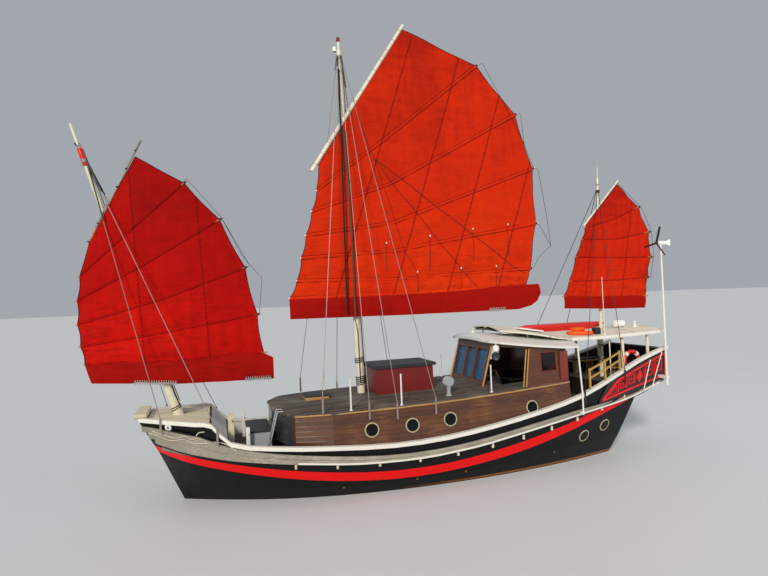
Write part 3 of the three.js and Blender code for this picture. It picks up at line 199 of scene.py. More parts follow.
class Recipe:
    """Builds one material from nodes."""

    def __init__(self, name: str) -> None:
        """Starts an empty material.

        Args:
            name: The finish in plain words.
        """
        self.material = bpy.data.materials.new(name)
        self.material.use_nodes = True
        self.tree = self.material.node_tree
        self.tree.nodes.clear()
        self.output = self.tree.nodes.new("ShaderNodeOutputMaterial")
        self.place = self.flow(self.node("ShaderNodeTexCoord"), "Object")

    def node(self, kind: str, settings: dict | None = None, plugs: dict | None = None) -> bpy.types.Node:
        """Adds a node.

        Args:
            kind: The node's type.
            settings: Attributes that are set first.
            plugs: Values or flows for its sockets, by name or number.

        Returns:
            The node.
        """
        made = self.tree.nodes.new(kind)
        for key, value in (settings or {}).items():
            setattr(made, key, value)
        for key, value in (plugs or {}).items():
            if isinstance(value, Flow):
                self.tree.links.new(value.socket, made.inputs[key])
            elif isinstance(value, tuple) and len(value) == 3 and made.inputs[key].type == "RGBA":
                made.inputs[key].default_value = (*value, 1.0)
            else:
                made.inputs[key].default_value = value
        return made

    def flow(self, node: bpy.types.Node, output: str | int = 0) -> Flow:
        """Wraps an output of a node."""
        return Flow(self.tree, node.outputs[output])

    def cloth_place(self) -> Flow:
        """Gives the point on the piece's own UV map."""
        return self.flow(self.node("ShaderNodeTexCoord"), "UV")

    def split(self, vector: Flow) -> list[Flow]:
        """Splits a vector into its three numbers."""
        parts = self.node("ShaderNodeSeparateXYZ", plugs={0: vector})
        return [self.flow(parts, output) for output in range(3)]

    def normal(self) -> list[Flow]:
        """Gives the surface's own normal as three numbers."""
        return self.split(self.flow(self.node("ShaderNodeNewGeometry"), "Normal"))

    def noise(
        self, scale: float, detail: float = 4.0, rough: float = 0.55, stretch: Point | None = None
    ) -> Flow:
        """Adds noise in the boat's frame.

        Args:
            scale: Its size, larger is finer.
            detail: How many octaves.
            rough: How strong the fine ones are.
            stretch: Scales of the axes, so that it runs long in one direction.

        Returns:
            A number from 0 to 1.
        """
        place = self.place
        if stretch:
            place = self.flow(self.node("ShaderNodeMapping", plugs={"Vector": place, "Scale": stretch}))
        plugs = {"Vector": place, "Scale": scale, "Detail": detail, "Roughness": rough}
        return self.flow(self.node("ShaderNodeTexNoise", plugs=plugs))

    def cells(self, value: Flow) -> Flow:
        """Gives each whole number its own random number."""
        plugs = {"W": value.floor()}
        return self.flow(self.node("ShaderNodeTexWhiteNoise", {"noise_dimensions": "1D"}, plugs), "Value")

    def mix(self, first: "Flow | Colour", second: "Flow | Colour", share: Flow) -> Flow:
        """Mixes two colours.

        Args:
            first: Colour where share is 0.
            second: Colour where share is 1.
            share: The mask.

        Returns:
            The mixed colour.
        """
        return self.flow(self.node("ShaderNodeMix", {"data_type": "RGBA"}, {0: share, 6: first, 7: second}), 2)

    def bump(self, height: Flow, strength: float, distance: float) -> Flow:
        """Turns a height into a surface normal."""
        plugs = {"Strength": strength, "Distance": distance, "Height": height}
        return self.flow(self.node("ShaderNodeBump", plugs=plugs))

    def finish(self, **plugs: "Flow | float | Colour") -> bpy.types.Material:
        """Closes the material with one surface shader.

        Args:
            plugs: The shader's sockets, with underscores for spaces.

        Returns:
            The material.
        """
        named = {key.replace("_", " "): value for key, value in plugs.items()}
        made = self.node("ShaderNodeBsdfPrincipled", plugs=named)
        self.tree.links.new(made.outputs[0], self.output.inputs["Surface"])
        return self.material


@dataclass(frozen=True)
class Finish:
    """A finish by name. The colours of all finishes are six-digit display colours."""

    name: str

    def material(self) -> bpy.types.Material:
        """Makes the material."""
        raise NotImplementedError(self.name)


@dataclass(frozen=True)
class PaintFinish(Finish):
    """Brushed paint over timber or metal, with dirt in patches and fine brush marks."""

    colour: str
    worn: str
    roughness: float
    wear: float

    def material(self) -> bpy.types.Material:
        """Makes the material.

        Returns:
            The material.
        """
        recipe = Recipe(self.name)
        cloud = recipe.noise(1.6, 6, 0.6)
        fine = recipe.noise(34, 5, 0.65)
        streak = recipe.noise(2.2, 4, 0.6, (9, 9, 1.4))
        mask = (cloud * 0.55 + fine * 0.2 + streak * 0.25).ramp(self.wear - 0.06, self.wear + 0.16)
        tint = recipe.mix(shade(self.colour), shade(self.colour, 0.8), fine.ramp(0.35, 0.75))
        brush = recipe.noise(22, 3, stretch=(2, 14, 14))
        return recipe.finish(
            Base_Color=recipe.mix(tint, shade(self.worn), mask),
            Roughness=self.roughness + mask * 0.3 + fine * 0.08,
            Normal=recipe.bump(brush * 0.5 + fine * 0.3 + mask * -0.6, 0.25, 0.004),
        )


class GrainAlong(Enum):
    """Direction that timber grain runs in, as stretches of the pattern."""

    X = (0.35, 9.0, 9.0)
    Z = (9.0, 9.0, 0.35)


@dataclass(frozen=True)
class TimberFinish(Finish):
    """Planked or solid timber with grain, seams, a tone for each plank, and weather."""

    dark: str
    light: str
    weather: str
    weathered: float
    roughness: float
    coat: float = 0.0
    grain: GrainAlong = GrainAlong.X
    plank: float = 0.0
    across: str = "z"
    sheer: tuple[float, float] = (0.0, 0.0)
    seam: Colour = (0.008, 0.006, 0.005)
    painted_fore: float | None = None
    fore_paint: str = "2c2d31"

    def colour(self, recipe: Recipe) -> tuple[Flow, Flow, Flow]:
        """Mixes the timber's colour.

        Args:
            recipe: The material it goes in.

        Returns:
            Colour, roughness and height.
        """
        x, y, z = recipe.split(recipe.place)
        streaks = recipe.noise(5.0, 7, 0.62, self.grain.value)
        fibres = recipe.noise(26.0, 4, 0.7, self.grain.value)
        blotch = recipe.noise(1.1, 4, 0.5)
        tone = streaks * 0.7 + fibres * 0.3
        height = fibres * 0.4 + streaks * 0.3
        seam = None
        if self.plank:
            rise = x * self.sheer[0] + x * x * self.sheer[1]
            run = {"y": y, "z": z - rise}[self.across] / self.plank + 40.37
            edge = run.fraction().edge()
            seam = (edge < 0.035).most(edge.ramp(0.07, 0.03) * 0.6)
            tone = tone * 0.72 + recipe.cells(run) * 0.28
            height = height + edge.ramp(0.0, 0.06) * 1.2
        timber = recipe.mix(shade(self.dark), shade(self.light), tone.ramp(0.32, 0.68))
        grey = (blotch * 0.6 + streaks * 0.4).ramp(self.weathered - 0.12, self.weathered + 0.12)
        timber = recipe.mix(timber, shade(self.weather), grey)
        if seam is not None:
            timber = recipe.mix(timber, self.seam, seam)
        if self.painted_fore is not None:
            chips = recipe.mix(shade(self.fore_paint), shade(self.fore_paint, 2.2), blotch.ramp(0.55, 0.75))
            timber = recipe.mix(timber, chips, x < self.painted_fore)
        return timber, self.roughness + grey * 0.25 + fibres * 0.12, height

    def material(self) -> bpy.types.Material:
        """Makes the material.

        Returns:
            The material.
        """
        recipe = Recipe(self.name)
        colour, roughness, height = self.colour(recipe)
        bump = recipe.bump(height, 0.45, 0.006)
        return recipe.finish(Base_Color=colour, Roughness=roughness, Coat_Weight=self.coat, Normal=bump)


@dataclass(frozen=True)
class HullFinish(Finish):
    """Black planked topsides with a red band along the sheer, dull bottom paint, grey decks."""

    black: str = "08090c"
    band: str = "ea0606"
    bottom: str = "3a1512"
    line: str = "8a5a28"
    salt: str = "4a4136"
    inside: tuple[str, str] = ("cfcdc4", "8d8a80")
    well: tuple[str, str] = ("191719", "34201d")
    planks: str = "56504a"
    deck_seam: Colour = (0.01, 0.009, 0.008)
    band_mid: tuple[float, ...] = (0.50071, 0.02785, 0.03114, 0.00009, -0.00014)

    def topsides(self, recipe: Recipe, fine: Flow, cloud: Flow, runs: Flow) -> Flow:
        """Paints the outside of the hull.

        Args:
            recipe: The material it goes in.
            fine: Fine noise.
            cloud: Broad noise.
            runs: Noise that runs down.

        Returns:
            The colour.
        """
        x, _, z = recipe.split(recipe.place)
        mid = x * self.band_mid[-1] + self.band_mid[-2]
        for share in self.band_mid[-3::-1]:
            mid = mid * x + share
        taper = abs(x + 0.2).ramp(2.5, 6.5)
        half = 0.117 + x.ramp(0.5, 3.0) * 0.02 - taper * 0.035
        off = abs(z - mid + x.ramp(1.5, -1.0) * 0.035 + (fine - 0.5) * 0.008)
        on_band = (off - half).ramp(0.006, -0.006) * (x < 6.15)
        black = recipe.mix(shade(self.black), shade(self.black, 2.4, 0.005), runs.ramp(0.52, 0.85))
        paint = recipe.mix(black, shade(self.band), on_band)
        paint = recipe.mix(paint, shade(self.band, 0.55), on_band * runs.ramp(0.55, 0.8) * 0.7)
        salt = (cloud * 0.5 + runs * 0.5).ramp(0.6, 0.78) * z.ramp(0.9, 0.05)
        paint = recipe.mix(paint, shade(self.salt), salt * 0.4)
        tide = (z < 0.075 + x.ramp(0, 6) * 0.02) * (z > 0.02) * x.ramp(-1.0, 1.5)
        paint = recipe.mix(paint, shade(self.line), tide * 0.85)
        return recipe.mix(paint, shade(self.bottom), z < 0.02)

    def deck(self, recipe: Recipe, run: Flow, seam: Flow) -> Flow:
        """Planks the decks.

        Args:
            recipe: The material it goes in.
            run: Which plank it is and how far across.
            seam: 1 on the seams.

        Returns:
            The colour.
        """
        wood = recipe.noise(7, 6, 0.65, GrainAlong.X.value)
        tone = wood * 0.6 + recipe.cells(run) * 0.4
        return recipe.mix(recipe.mix(shade(self.planks, 0.6), shade(self.planks, 1.35), tone), self.deck_seam, seam)

    def material(self) -> bpy.types.Material:
        """Makes the material.

        Returns:
            The material.
        """
        recipe = Recipe(self.name)
        x, y, z = recipe.split(recipe.place)
        nx, ny, nz = recipe.normal()
        fine = recipe.noise(30, 5, 0.65)
        cloud = recipe.noise(1.3, 6, 0.6)
        runs = recipe.noise(2.5, 5, 0.65, (7, 7, 0.5))
        seam = ((z - x * 0.0314 - x * x * 0.0208) / 0.155 + 20.2).fraction().edge().ramp(0.05, 0.0)
        inner = ((ny * y.sign()) < -0.25).most((nx > 0.6) * (x < -4.0) * (z > 1.0))
        inner = inner.most((nx < -0.6) * (x > 5.0) * (z > 1.0))
        light = recipe.mix(shade(self.inside[0]), shade(self.inside[1]), cloud.ramp(0.5, 0.75))
        dark = recipe.mix(shade(self.well[0]), shade(self.well[1]), cloud.ramp(0.4, 0.6))
        lining = recipe.mix(light, dark, x > 3.9)
        paint = recipe.mix(self.topsides(recipe, fine, cloud, runs), lining, inner * (z > 0.95))
        deck_run = y / 0.095 + 40.5
        deck_seam = deck_run.fraction().edge().ramp(0.07, 0.02)
        is_deck = (nz > 0.8) * (z > 0.9)
        height = fine * 0.3 + runs * 0.2 - seam * 0.6 * (1 - is_deck) - deck_seam * is_deck
        rough = 0.34 + runs * 0.22 + inner * 0.3 + is_deck * 0.45 + (z < 0.02) * 0.4
        return recipe.finish(
            Base_Color=recipe.mix(paint, self.deck(recipe, deck_run, deck_seam), is_deck),
            Roughness=rough.least(0.95), Specular_IOR_Level=0.22, Normal=recipe.bump(height, 0.3, 0.006),
        )


@dataclass(frozen=True)
class SailFinish(Finish):
    """Woven sailcloth with sewn seams, patches of fading, stains and creases; painted light lower down and on fold
    ridges, painted shade in creases and fold hollows.
    """

    cloth: str
    faded: str
    deep: str
    seam_gap: float = 40.0
    lean: float = 0.0
    # Heights where painted light on the cloth starts (0) and is full (1), so the cloth is painted lighter lower down.
    glow: tuple[float, float] = (9.0, 3.0)
    phase: float = 0.274
    stitched: float = 0.8

    def material(self) -> bpy.types.Material:
        """Makes the material.

        Returns:
            The material.
        """
        recipe = Recipe(self.name)
        u, v, _ = recipe.split(recipe.cloth_place())
        x, _, z = recipe.split(recipe.place)
        cloud = recipe.noise(0.55, 6)
        mottle = recipe.noise(5.5, 6, 0.62)
        runs = recipe.noise(1.6, 5, 0.6, (3.5, 3.5, 0.35))
        crease = recipe.noise(3.2, 5, 0.7, (1.6, 1.6, 0.6))
        folds = recipe.noise(1.7, 6, 0.6, (0.75, 1.0, 3.6))
        run = (x - z * self.lean) / self.seam_gap + (30.0 + self.phase)
        off = run.fraction().edge() * self.seam_gap
        seam = off.ramp(0.016, 0.009)
        stitch = (v * 9.0).fraction().ramp(0.4, 0.6) * off.ramp(0.04, 0.034)
        weave = (u * 420.0).sine() * (v * 420.0).sine()
        # Painted light: rises from 0 at the first height to 1 at the second, lower down the sail.
        high = z.ramp(*self.glow)
        # Painted shade in the fold hollows, stronger lower down where the painted light is.
        painted_fold_shade = (folds.ramp(0.52, 0.6) - folds.ramp(0.6, 0.7)) * high
        # Tone: random patches and a tone for each cloth panel, plus a painted highlight where the folds stand high and
        # painted light lower down.
        tone = cloud * 0.3 + mottle * 0.15 + runs * 0.15 + recipe.cells(run) * 0.1 + folds * 0.2 + high * 0.16
        colour = recipe.mix(shade(self.deep), shade(self.cloth), tone.ramp(0.36, 0.5))
        # Lightest tone: patches of fading, plus painted light lower down and on fold ridges.
        colour = recipe.mix(colour, shade(self.faded), tone.ramp(0.52, 0.72) * 0.75)
        # Painted shade in the creases and fold hollows.
        colour = recipe.mix(colour, shade(self.deep), (crease.ramp(0.6, 0.8) * 0.35).most(painted_fold_shade * 0.6))
        colour = recipe.mix(colour, shade(self.deep, 0.35), seam * self.stitched)
        colour = recipe.mix(colour, shade(self.deep, 0.5), stitch * 0.35)
        height = crease * 1.8 + folds * 4.5 + mottle * 0.4 + seam * 0.9 + weave * 0.05
        return recipe.finish(
            Base_Color=colour,
            Roughness=0.72 + mottle * 0.16,
            Specular_IOR_Level=0.12,
            Normal=recipe.bump(height, 0.42, 0.012),
        )


@dataclass(frozen=True)
class MetalFinish(Finish):
    """Wire, plate or casting with scratches and stains."""

    colour: str
    stain: str
    roughness: float
    metallic: float

    def material(self) -> bpy.types.Material:
        """Makes the material.

        Returns:
            The material.
        """
        recipe = Recipe(self.name)
        cloud = recipe.noise(6, 6, 0.65)
        grit = recipe.noise(70, 4, 0.7)
        stained = (cloud * 0.7 + grit * 0.3).ramp(0.55, 0.72)
        return recipe.finish(
            Base_Color=recipe.mix(shade(self.colour), shade(self.stain), stained),
            Metallic=self.metallic - stained * 0.5,
            Roughness=self.roughness + stained * 0.3 + grit * 0.1,
            Normal=recipe.bump(grit * 0.5 + stained, 0.2, 0.002),
        )


@dataclass(frozen=True)
class PlasticFinish(Finish):
    """Moulded plastic, rubber or vinyl with a fine skin and scuffs."""

    colour: str
    roughness: float
    coat: float = 0.0
    scuff: Colour = (0.35, 0.33, 0.31)

    def material(self) -> bpy.types.Material:
        """Makes the material.

        Returns:
            The material.
        """
        recipe = Recipe(self.name)
        cloud = recipe.noise(4, 5, 0.6)
        skin = recipe.noise(160, 2, 0.5)
        scratch = recipe.noise(6, 5, 0.7, (2, 20, 20))
        rubbed = (cloud * 0.5 + scratch * 0.5).ramp(0.6, 0.74)
        return recipe.finish(
            Base_Color=recipe.mix(shade(self.colour), self.scuff, rubbed * 0.4),
            Roughness=self.roughness + rubbed * 0.25 + skin * 0.08,
            Coat_Weight=self.coat,
            Normal=recipe.bump(skin * 0.4 + rubbed * 0.5, 0.15, 0.002),
        )


@dataclass(frozen=True)
class RopeFinish(Finish):
    """Laid rope, weathered, with strands across its run."""

    colour: str
    dirt: str

    def material(self) -> bpy.types.Material:
        """Makes the material.

        Returns:
            The material.
        """
        recipe = Recipe(self.name)
        x, y, z = recipe.split(recipe.place)
        strand = ((x + y * 0.7 + z) * 240.0).sine() * 0.5 + 0.5
        fuzz = recipe.noise(120, 4, 0.7)
        dirt = recipe.noise(3.0, 5, 0.6)
        # The grooves between the strands take the darker colour: painted shade. The patches on the next line are dirt.
        colour = recipe.mix(shade(self.dirt), shade(self.colour), (strand * 0.5 + fuzz * 0.5).ramp(0.2, 0.6))
        colour = recipe.mix(colour, shade(self.dirt), dirt.ramp(0.5, 0.75) * 0.6)
        return recipe.finish(
            Base_Color=colour, Roughness=0.8 + fuzz * 0.15, Normal=recipe.bump(strand + fuzz * 0.5, 0.5, 0.004)
        )


@dataclass(frozen=True)
class GlassFinish(Finish):
    """Tinted pane with salt haze."""

    colour: str
    clear: float

    def material(self) -> bpy.types.Material:
        """Makes the material.

        Returns:
            The material.
        """
        recipe = Recipe(self.name)
        haze = recipe.noise(7, 6, 0.65)
        return recipe.finish(
            Base_Color=recipe.mix(shade(self.colour), shade(self.colour, 1.6, 0.004), haze.ramp(0.45, 0.75)),
            Roughness=0.06 + haze.ramp(0.5, 0.8) * 0.22,
            Transmission_Weight=self.clear,
            IOR=1.3,
        )


class Paints:
    """All finishes of the boat, each made once."""

    FINISHES: tuple[Finish, ...] = (
        HullFinish("hull paint and decks"),
        TimberFinish("weathered wale", "6a655c", "b0a999", "c2baa8", 0.6, 0.72, plank=0.5, sheer=(0.0314, 0.0208)),
        PaintFinish("rail white", "e9e6dc", "8d8472", 0.38, 0.66),
        PaintFinish("cream paint", "e0d5b4", "8a7a5c", 0.5, 0.6),
        PaintFinish("ring paint", "b4ac8c", "6f6a58", 0.42, 0.62),
        PaintFinish("spar cream", "e4dcc4", "8e8166", 0.4, 0.6),
        PaintFinish("grey paint", "9aa0a2", "5c5a55", 0.5, 0.62),
        PaintFinish("roof paint", "dfe0dc", "a09c92", 0.5, 0.64),
        PaintFinish("dark trim", "26262a", "5a544c", 0.55, 0.66),
        PaintFinish("red trim", "dc0a08", "5a1510", 0.4, 0.66),
        PaintFinish("house red", "74120c", "3a1512", 0.4, 0.64),
        PaintFinish("white fitting", "eceae4", "8d8472", 0.35, 0.7),
        PaintFinish("rail yellow", "b8924a", "7a6238", 0.5, 0.64),
        TimberFinish("cabin teak", "48220c", "63381a", "8a5a28", 0.64, 0.26, 0.35, plank=0.118,
                     sheer=(0.028, 0.0045), seam=shade("2e160a"), painted_fore=-3.33),
        TimberFinish("roof planking", "2f2823", "6b6258", "8c8478", 0.62, 0.75, plank=0.075, across="y"),
        TimberFinish("light timber", "8a5f30", "c79a5c", "d3b98c", 0.66, 0.45),
        TimberFinish("wheelhouse timber", "3a1c0e", "6b3a1c", "86552e", 0.72, 0.36, 0.2),
        TimberFinish("red timber", "5a1c0c", "8a3216", "9a4a26", 0.7, 0.4, 0.2, GrainAlong.Z),
        # The pair after the seam lean gives the heights over which painted light brightens each sail lower down.
        SailFinish("main sailcloth", "c92600", "dc3c00", "a41800", 1.57, 0.34, (9.5, 4.5)),
        SailFinish("fore sailcloth", "aa0400", "d81200", "8a0200", 1.5, -0.05, (7.4, 3.9), 0.333, 0.42),
        SailFinish("mizzen sailcloth", "c01e00", "d43200", "981000", 1.3, 0.20, (7.0, 4.2), 0.274, 0.5),
        SailFinish("skirt cloth", "960600", "a40a00", "7e0200"),
        SailFinish("pocket cloth", "360806", "480c06", "240302"),
        SailFinish("awning cloth", "d8d3c2", "e8e4d6", "b2ab98", 1.4),
        MetalFinish("galvanised", "b4b4b0", "6a5a4a", 0.42, 0.85),
        MetalFinish("wire", "9a8a84", "5c4c44", 0.5, 0.6),
        MetalFinish("dark wire", "3c302c", "241c1a", 0.55, 0.4),
        MetalFinish("bronze", "a87838", "4a4a30", 0.35, 0.95),
        MetalFinish("aluminium", "d5d7d8", "8a8d8e", 0.3, 0.95),
        PlasticFinish("dark plastic", "1a1b1e", 0.45),
        PlasticFinish("red plastic", "d81c0c", 0.45, 0.1),
        PlasticFinish("orange gear", "f0560c", 0.55),
        PlasticFinish("white plastic", "efefea", 0.3),
        PlasticFinish("black vinyl", "17171a", 0.55),
        RopeFinish("white rope", "d8d2c2", "7d7564"),
        RopeFinish("dark rope", "1c1917", "0c0a09"),
        RopeFinish("strap webbing", "5c463c", "3a2c26"),
        GlassFinish("blue glass", "2f5f86", 0.35),
        # Porthole panes: opaque and near black, painted shade of the unlit cabin behind the glass.
        GlassFinish("dark glass", "050708", 0.0),
    )

    def __init__(self) -> None:
        """Makes the finishes by name."""
        self.made: dict[str, bpy.types.Material] = {one.name: one.material() for one in self.FINISHES}

    def __getitem__(self, name: str) -> bpy.types.Material:
        """Gives a finish by name."""
        return self.made[name]


class Workshop:
    """Models single pieces with Blender's own operators."""

    def __init__(self, frame: dict, paints: Paints) -> None:
        """Keeps the frame and the finishes."""
        self.frame = frame
        self.paints = paints

    @staticmethod
    def pick(*pieces: bpy.types.Object) -> None:
        """Selects these pieces alone and makes the first one active, if there is any.

        Args:
            pieces: The pieces.
        """
        bpy.ops.object.select_all(action="DESELECT")
        for piece in pieces:
            piece.select_set(True)
        if pieces:
            bpy.context.view_layer.objects.active = pieces[0]

    @staticmethod
    def open() -> None:
        """Opens the active piece for editing, with all of it selected."""
        bpy.ops.object.mode_set(mode="EDIT")
        bpy.ops.mesh.select_all(action="SELECT")

    @staticmethod
    def extrude(push: Point) -> None:
        """Extrudes what is selected."""
        bpy.ops.mesh.extrude_region_move(TRANSFORM_OT_translate={"value": push})

    @staticmethod
    def shut(bevel: float = 0.0) -> None:
        """Turns the faces outward, eases the edges if asked, and ends the editing.

        Args:
            bevel: Width of the eased edges.
        """
        bpy.ops.mesh.select_all(action="SELECT")
        bpy.ops.mesh.normals_make_consistent(inside=False)
        if bevel:
            bpy.ops.mesh.bevel(offset=bevel, segments=2, affect="EDGES")
        bpy.ops.object.mode_set(mode="OBJECT")

    def block(self, one: Point, other: Point, bevel: float = 0.006, turn: float = 0.0) -> bpy.types.Object:
        """Adds a block with eased edges.

        Args:
            one: A corner.
            other: The corner across from it.
            bevel: Width of the eased edges.
            turn: Turn about the vertical through its middle, in radians.

        Returns:
            The piece.
        """
        self.pick()
        size = [abs(b - a) for a, b in zip(one, other)]
        bpy.ops.mesh.primitive_cube_add(size=1, location=(Vector(one) + Vector(other)) / 2, scale=size)
        piece = bpy.context.object
        bpy.ops.object.transform_apply(location=False, rotation=False, scale=True)
        self.open()
        bpy.ops.mesh.bevel(offset=bevel, segments=2, affect="EDGES")
        bpy.ops.object.mode_set(mode="OBJECT")
        piece.rotation_euler = (0, 0, turn)
        bpy.ops.object.transform_apply()
        return piece

    def turned(self, profile: Row, foot: Point, along: Point = UP, sides: int = 24) -> bpy.types.Object:
        """Draws a round piece out of a disc, ring by ring.

        Args:
            profile: Radius and height of each ring from the foot.
            foot: Where height 0 is.
            along: Direction of the axis.
            sides: Number of sides.

        Returns:
            The piece.
        """
        self.pick()
        last = profile[0]
        bpy.ops.mesh.primitive_circle_add(vertices=sides, radius=last[0], fill_type="NGON", location=(0, 0, 0))
        piece = bpy.context.object
        self.open()
        bpy.ops.transform.translate(value=(0, 0, last[1]))
        for radius, height in profile[1:]:
            self.extrude((0, 0, height - last[1]))
            grow = radius / last[0]
            bpy.ops.transform.resize(value=(grow, grow, 1), center_override=(0, 0, height))
            last = (radius, height)
        self.shut()
        quarter = UP.rotation_difference(Vector(along).normalized())
        piece.data.transform(Matrix.Translation(foot) @ quarter.to_matrix().to_4x4())
        return piece

    def rod(self, start: Point, end: Point, radius: float, sides: int = 16) -> bpy.types.Object:
        """Draws a straight round bar with eased ends.

        Args:
            start: Its foot.
            end: Its head.
            radius: Its radius.
            sides: Number of sides.

        Returns:
            The piece.
        """
        run = Vector(end) - Vector(start)
        ease = radius * 0.25
        profile = ((radius - ease, 0), (radius, ease), (radius, run.length - ease), (radius - ease, run.length))
        return self.turned(profile, start, run, sides)

    def line(
        self, points: Sequence[Point], radius: float, smooth: bool = False, closed: bool = False, sides: int = 2
    ) -> bpy.types.Object:
        """Bends a round bar or rope along points.

        Args:
            points: Where it runs.
            radius: Its radius.
            smooth: Whether it curves through the points.
            closed: Whether it is a loop.
            sides: Half of a quarter's facets.

        Returns:
            The piece, as a mesh.
        """
        self.pick()
        bpy.ops.curve.primitive_nurbs_path_add()
        piece = bpy.context.object
        curve = piece.data
        curve.splines.clear()
        spline = curve.splines.new("BEZIER" if smooth else "POLY")
        if smooth:
            spline.bezier_points.add(len(points) - 1)
            for knot, point in zip(spline.bezier_points, points):
                knot.co = point
                knot.handle_left_type = knot.handle_right_type = "AUTO"
        else:
            spline.points.add(len(points) - 1)
            for knot, point in zip(spline.points, points):
                knot.co = (*point, 1)
        spline.use_cyclic_u = closed
        curve.resolution_u = 4
        curve.bevel_depth = radius
        curve.bevel_resolution = sides
        curve.use_fill_caps = not closed
        piece.location = (0, 0, 0)
        bpy.ops.object.convert(target="MESH")
        return bpy.context.object

    def ring(
        self, hub: Point, one: Vector, other: Vector, count: int, radius: float, sides: int = 1
    ) -> bpy.types.Object:
        """Bends a closed round line.

        Args:
            hub: Its middle.
            one: From the middle to its first point.
            other: From the middle to the point a quarter further on.
            count: How many points there are.
            radius: The line's radius.
            sides: Half of a quarter's facets.

        Returns:
            The piece.
        """
        angles = [math.tau * k / count for k in range(count)]
        spots = [Vector(hub) + one * math.cos(a) + other * math.sin(a) for a in angles]
        return self.line(spots, radius, closed=True, sides=sides)

    def panel(self, outline: Sequence[Point], push: Point, bevel: float) -> bpy.types.Object:
        """Cuts a flat panel and gives it a thickness.

        Args:
            outline: Its corners in order.
            push: The way and the distance that it is thickened.
            bevel: Width of eased edges.

        Returns:
            The piece.
        """
        self.pick()
        bpy.ops.mesh.primitive_circle_add(vertices=len(outline), fill_type="NGON", location=(0, 0, 0))
        piece = bpy.context.object
        for vertex, corner in zip(piece.data.vertices, outline):
            vertex.co = corner
        self.open()
        self.extrude(push)
        self.shut(bevel)
        return piece

    def surface(
        self, across: int, down: int, place: Callable[[float, float], Point], cloth: tuple[float, float]
    ) -> bpy.types.Object:
        """Lays a grid on a shape.

        Args:
            across: Cells in u.
            down: Cells in v.
            place: Gives the point for u and v from 0 to 1.
            cloth: Size in metres of its own map.

        Returns:
            The piece, one skin thick.
        """
        self.pick()
        bpy.ops.mesh.primitive_grid_add(x_subdivisions=across, y_subdivisions=down, size=1, location=(0, 0, 0))
        piece = bpy.context.object
        flat = [(v.co.x + 0.5, v.co.y + 0.5) for v in piece.data.vertices]
        for vertex, (u, v) in zip(piece.data.vertices, flat):
            vertex.co = place(u, v)
        layer = piece.data.uv_layers[0].data
        for loop in piece.data.loops:
            u, v = flat[loop.vertex_index]
            layer[loop.index].uv = (u * cloth[0], v * cloth[1])
        return piece

    def thicken(self, piece: bpy.types.Object, thickness: float) -> bpy.types.Object:
        """Gives a skin its thickness and closes its edges.

        Args:
            piece: The skin.
            thickness: Its thickness.

        Returns:
            The same piece.
        """
        self.pick(piece)
        wall = piece.modifiers.new("wall", "SOLIDIFY")
        wall.thickness = thickness
        wall.offset = 0
        bpy.ops.object.modifier_apply(modifier=wall.name)
        return piece

    def done(
        self, piece: bpy.types.Object | Sequence[bpy.types.Object], name: str, finish: str,
        body: Body = Body.BOAT, angle: float = 35.0
    ) -> bpy.types.Object:
        """Names, dresses and fastens a piece.

        Args:
            piece: The piece, or pieces that become one.
            name: Its name.
            finish: Its finish.
            body: What it rides on.
            angle: Edges sharper than this stay crisp, in degrees.

        Returns:
            The finished piece.
        """
        parts = [piece] if isinstance(piece, bpy.types.Object) else piece
        self.pick(*parts)
        if len(parts) > 1:
            bpy.ops.object.join()
        made = parts[0]
        self.pick(made)
        bpy.ops.object.shade_smooth_by_angle(angle=math.radians(angle))
        made.name = made.data.name = name
        self.dress(made, finish)
        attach(made, body.value)
        LOG.info("%s: %d faces", name, len(made.data.polygons))
        return made

    def dress(self, piece: bpy.types.Object, finish: str) -> None:
        """Gives a piece or a node of the frame its finish."""
        piece.data.materials.clear()
        piece.data.materials.append(self.paints[finish])

    def cast(self, node: str, start: Point, way: Point) -> tuple[Vector, Vector] | None:
        """Looks along a straight line for a node.

        Args:
            node: The node's name.
            start: Where the line starts.
            way: Its direction.

        Returns:
            The point and the surface normal there, or None.
        """
        hit, point, normal, _ = self.frame["nodes"][node].ray_cast(Vector(start), Vector(way))
        return (point, normal) if hit else None

    def touch(self, node: str, start: Point, way: Point) -> tuple[Vector, Vector]:
        """Finds where a straight line meets a node.

        Args:
            node: The node's name.
            start: Where the line starts.
            way: Its direction.

        Returns:
            The point and the surface normal there.
        """
        found = self.cast(node, start, way)
        if not found:
            raise ValueError(f"nothing of {node} lies ahead of {start}")
        return found

    def top(self, node: str, x: float, y: float) -> float:
        """Gives the height of a node's top at a place."""
        return self.touch(node, (x, y, 6), -UP)[0].z

    def rim(self, node: str, side: Side, x: float) -> Vector:
        """Finds the outermost point of a node's top on one side.

        Args:
            node: The node's name.
            side: Which side.
            x: The length it is looked for at.

        Returns:
            The point.
        """
        starts = ((x, side.value * (2.3 - 0.005 * step), 6) for step in range(300))
        return next(found[0] for found in (self.cast(node, start, -UP) for start in starts) if found)

    def beside(self, node: str, side: Side, x: float, z: float) -> tuple[Vector, Vector] | None:
        """Looks for the outside of a node at a length and height, on one side."""
        return self.cast(node, (x, side.value * 4.0, z), (0, -side.value, 0))

    def flank(self, node: str, side: Side, x: float, z: float) -> tuple[Vector, Vector]:
        """Finds the outside of a node at a length and height, on one side."""
        return self.touch(node, (x, side.value * 4.0, z), (0, -side.value, 0))

    def outer(self, nodes: Sequence[str], side: Side, x: float, z: float) -> tuple[Vector, Vector]:
        """Finds the outermost of several nodes at a length and height, on one side."""
        return max(filter(None, (self.beside(node, side, x, z) for node in nodes)), key=lambda found: abs(found[0].y))


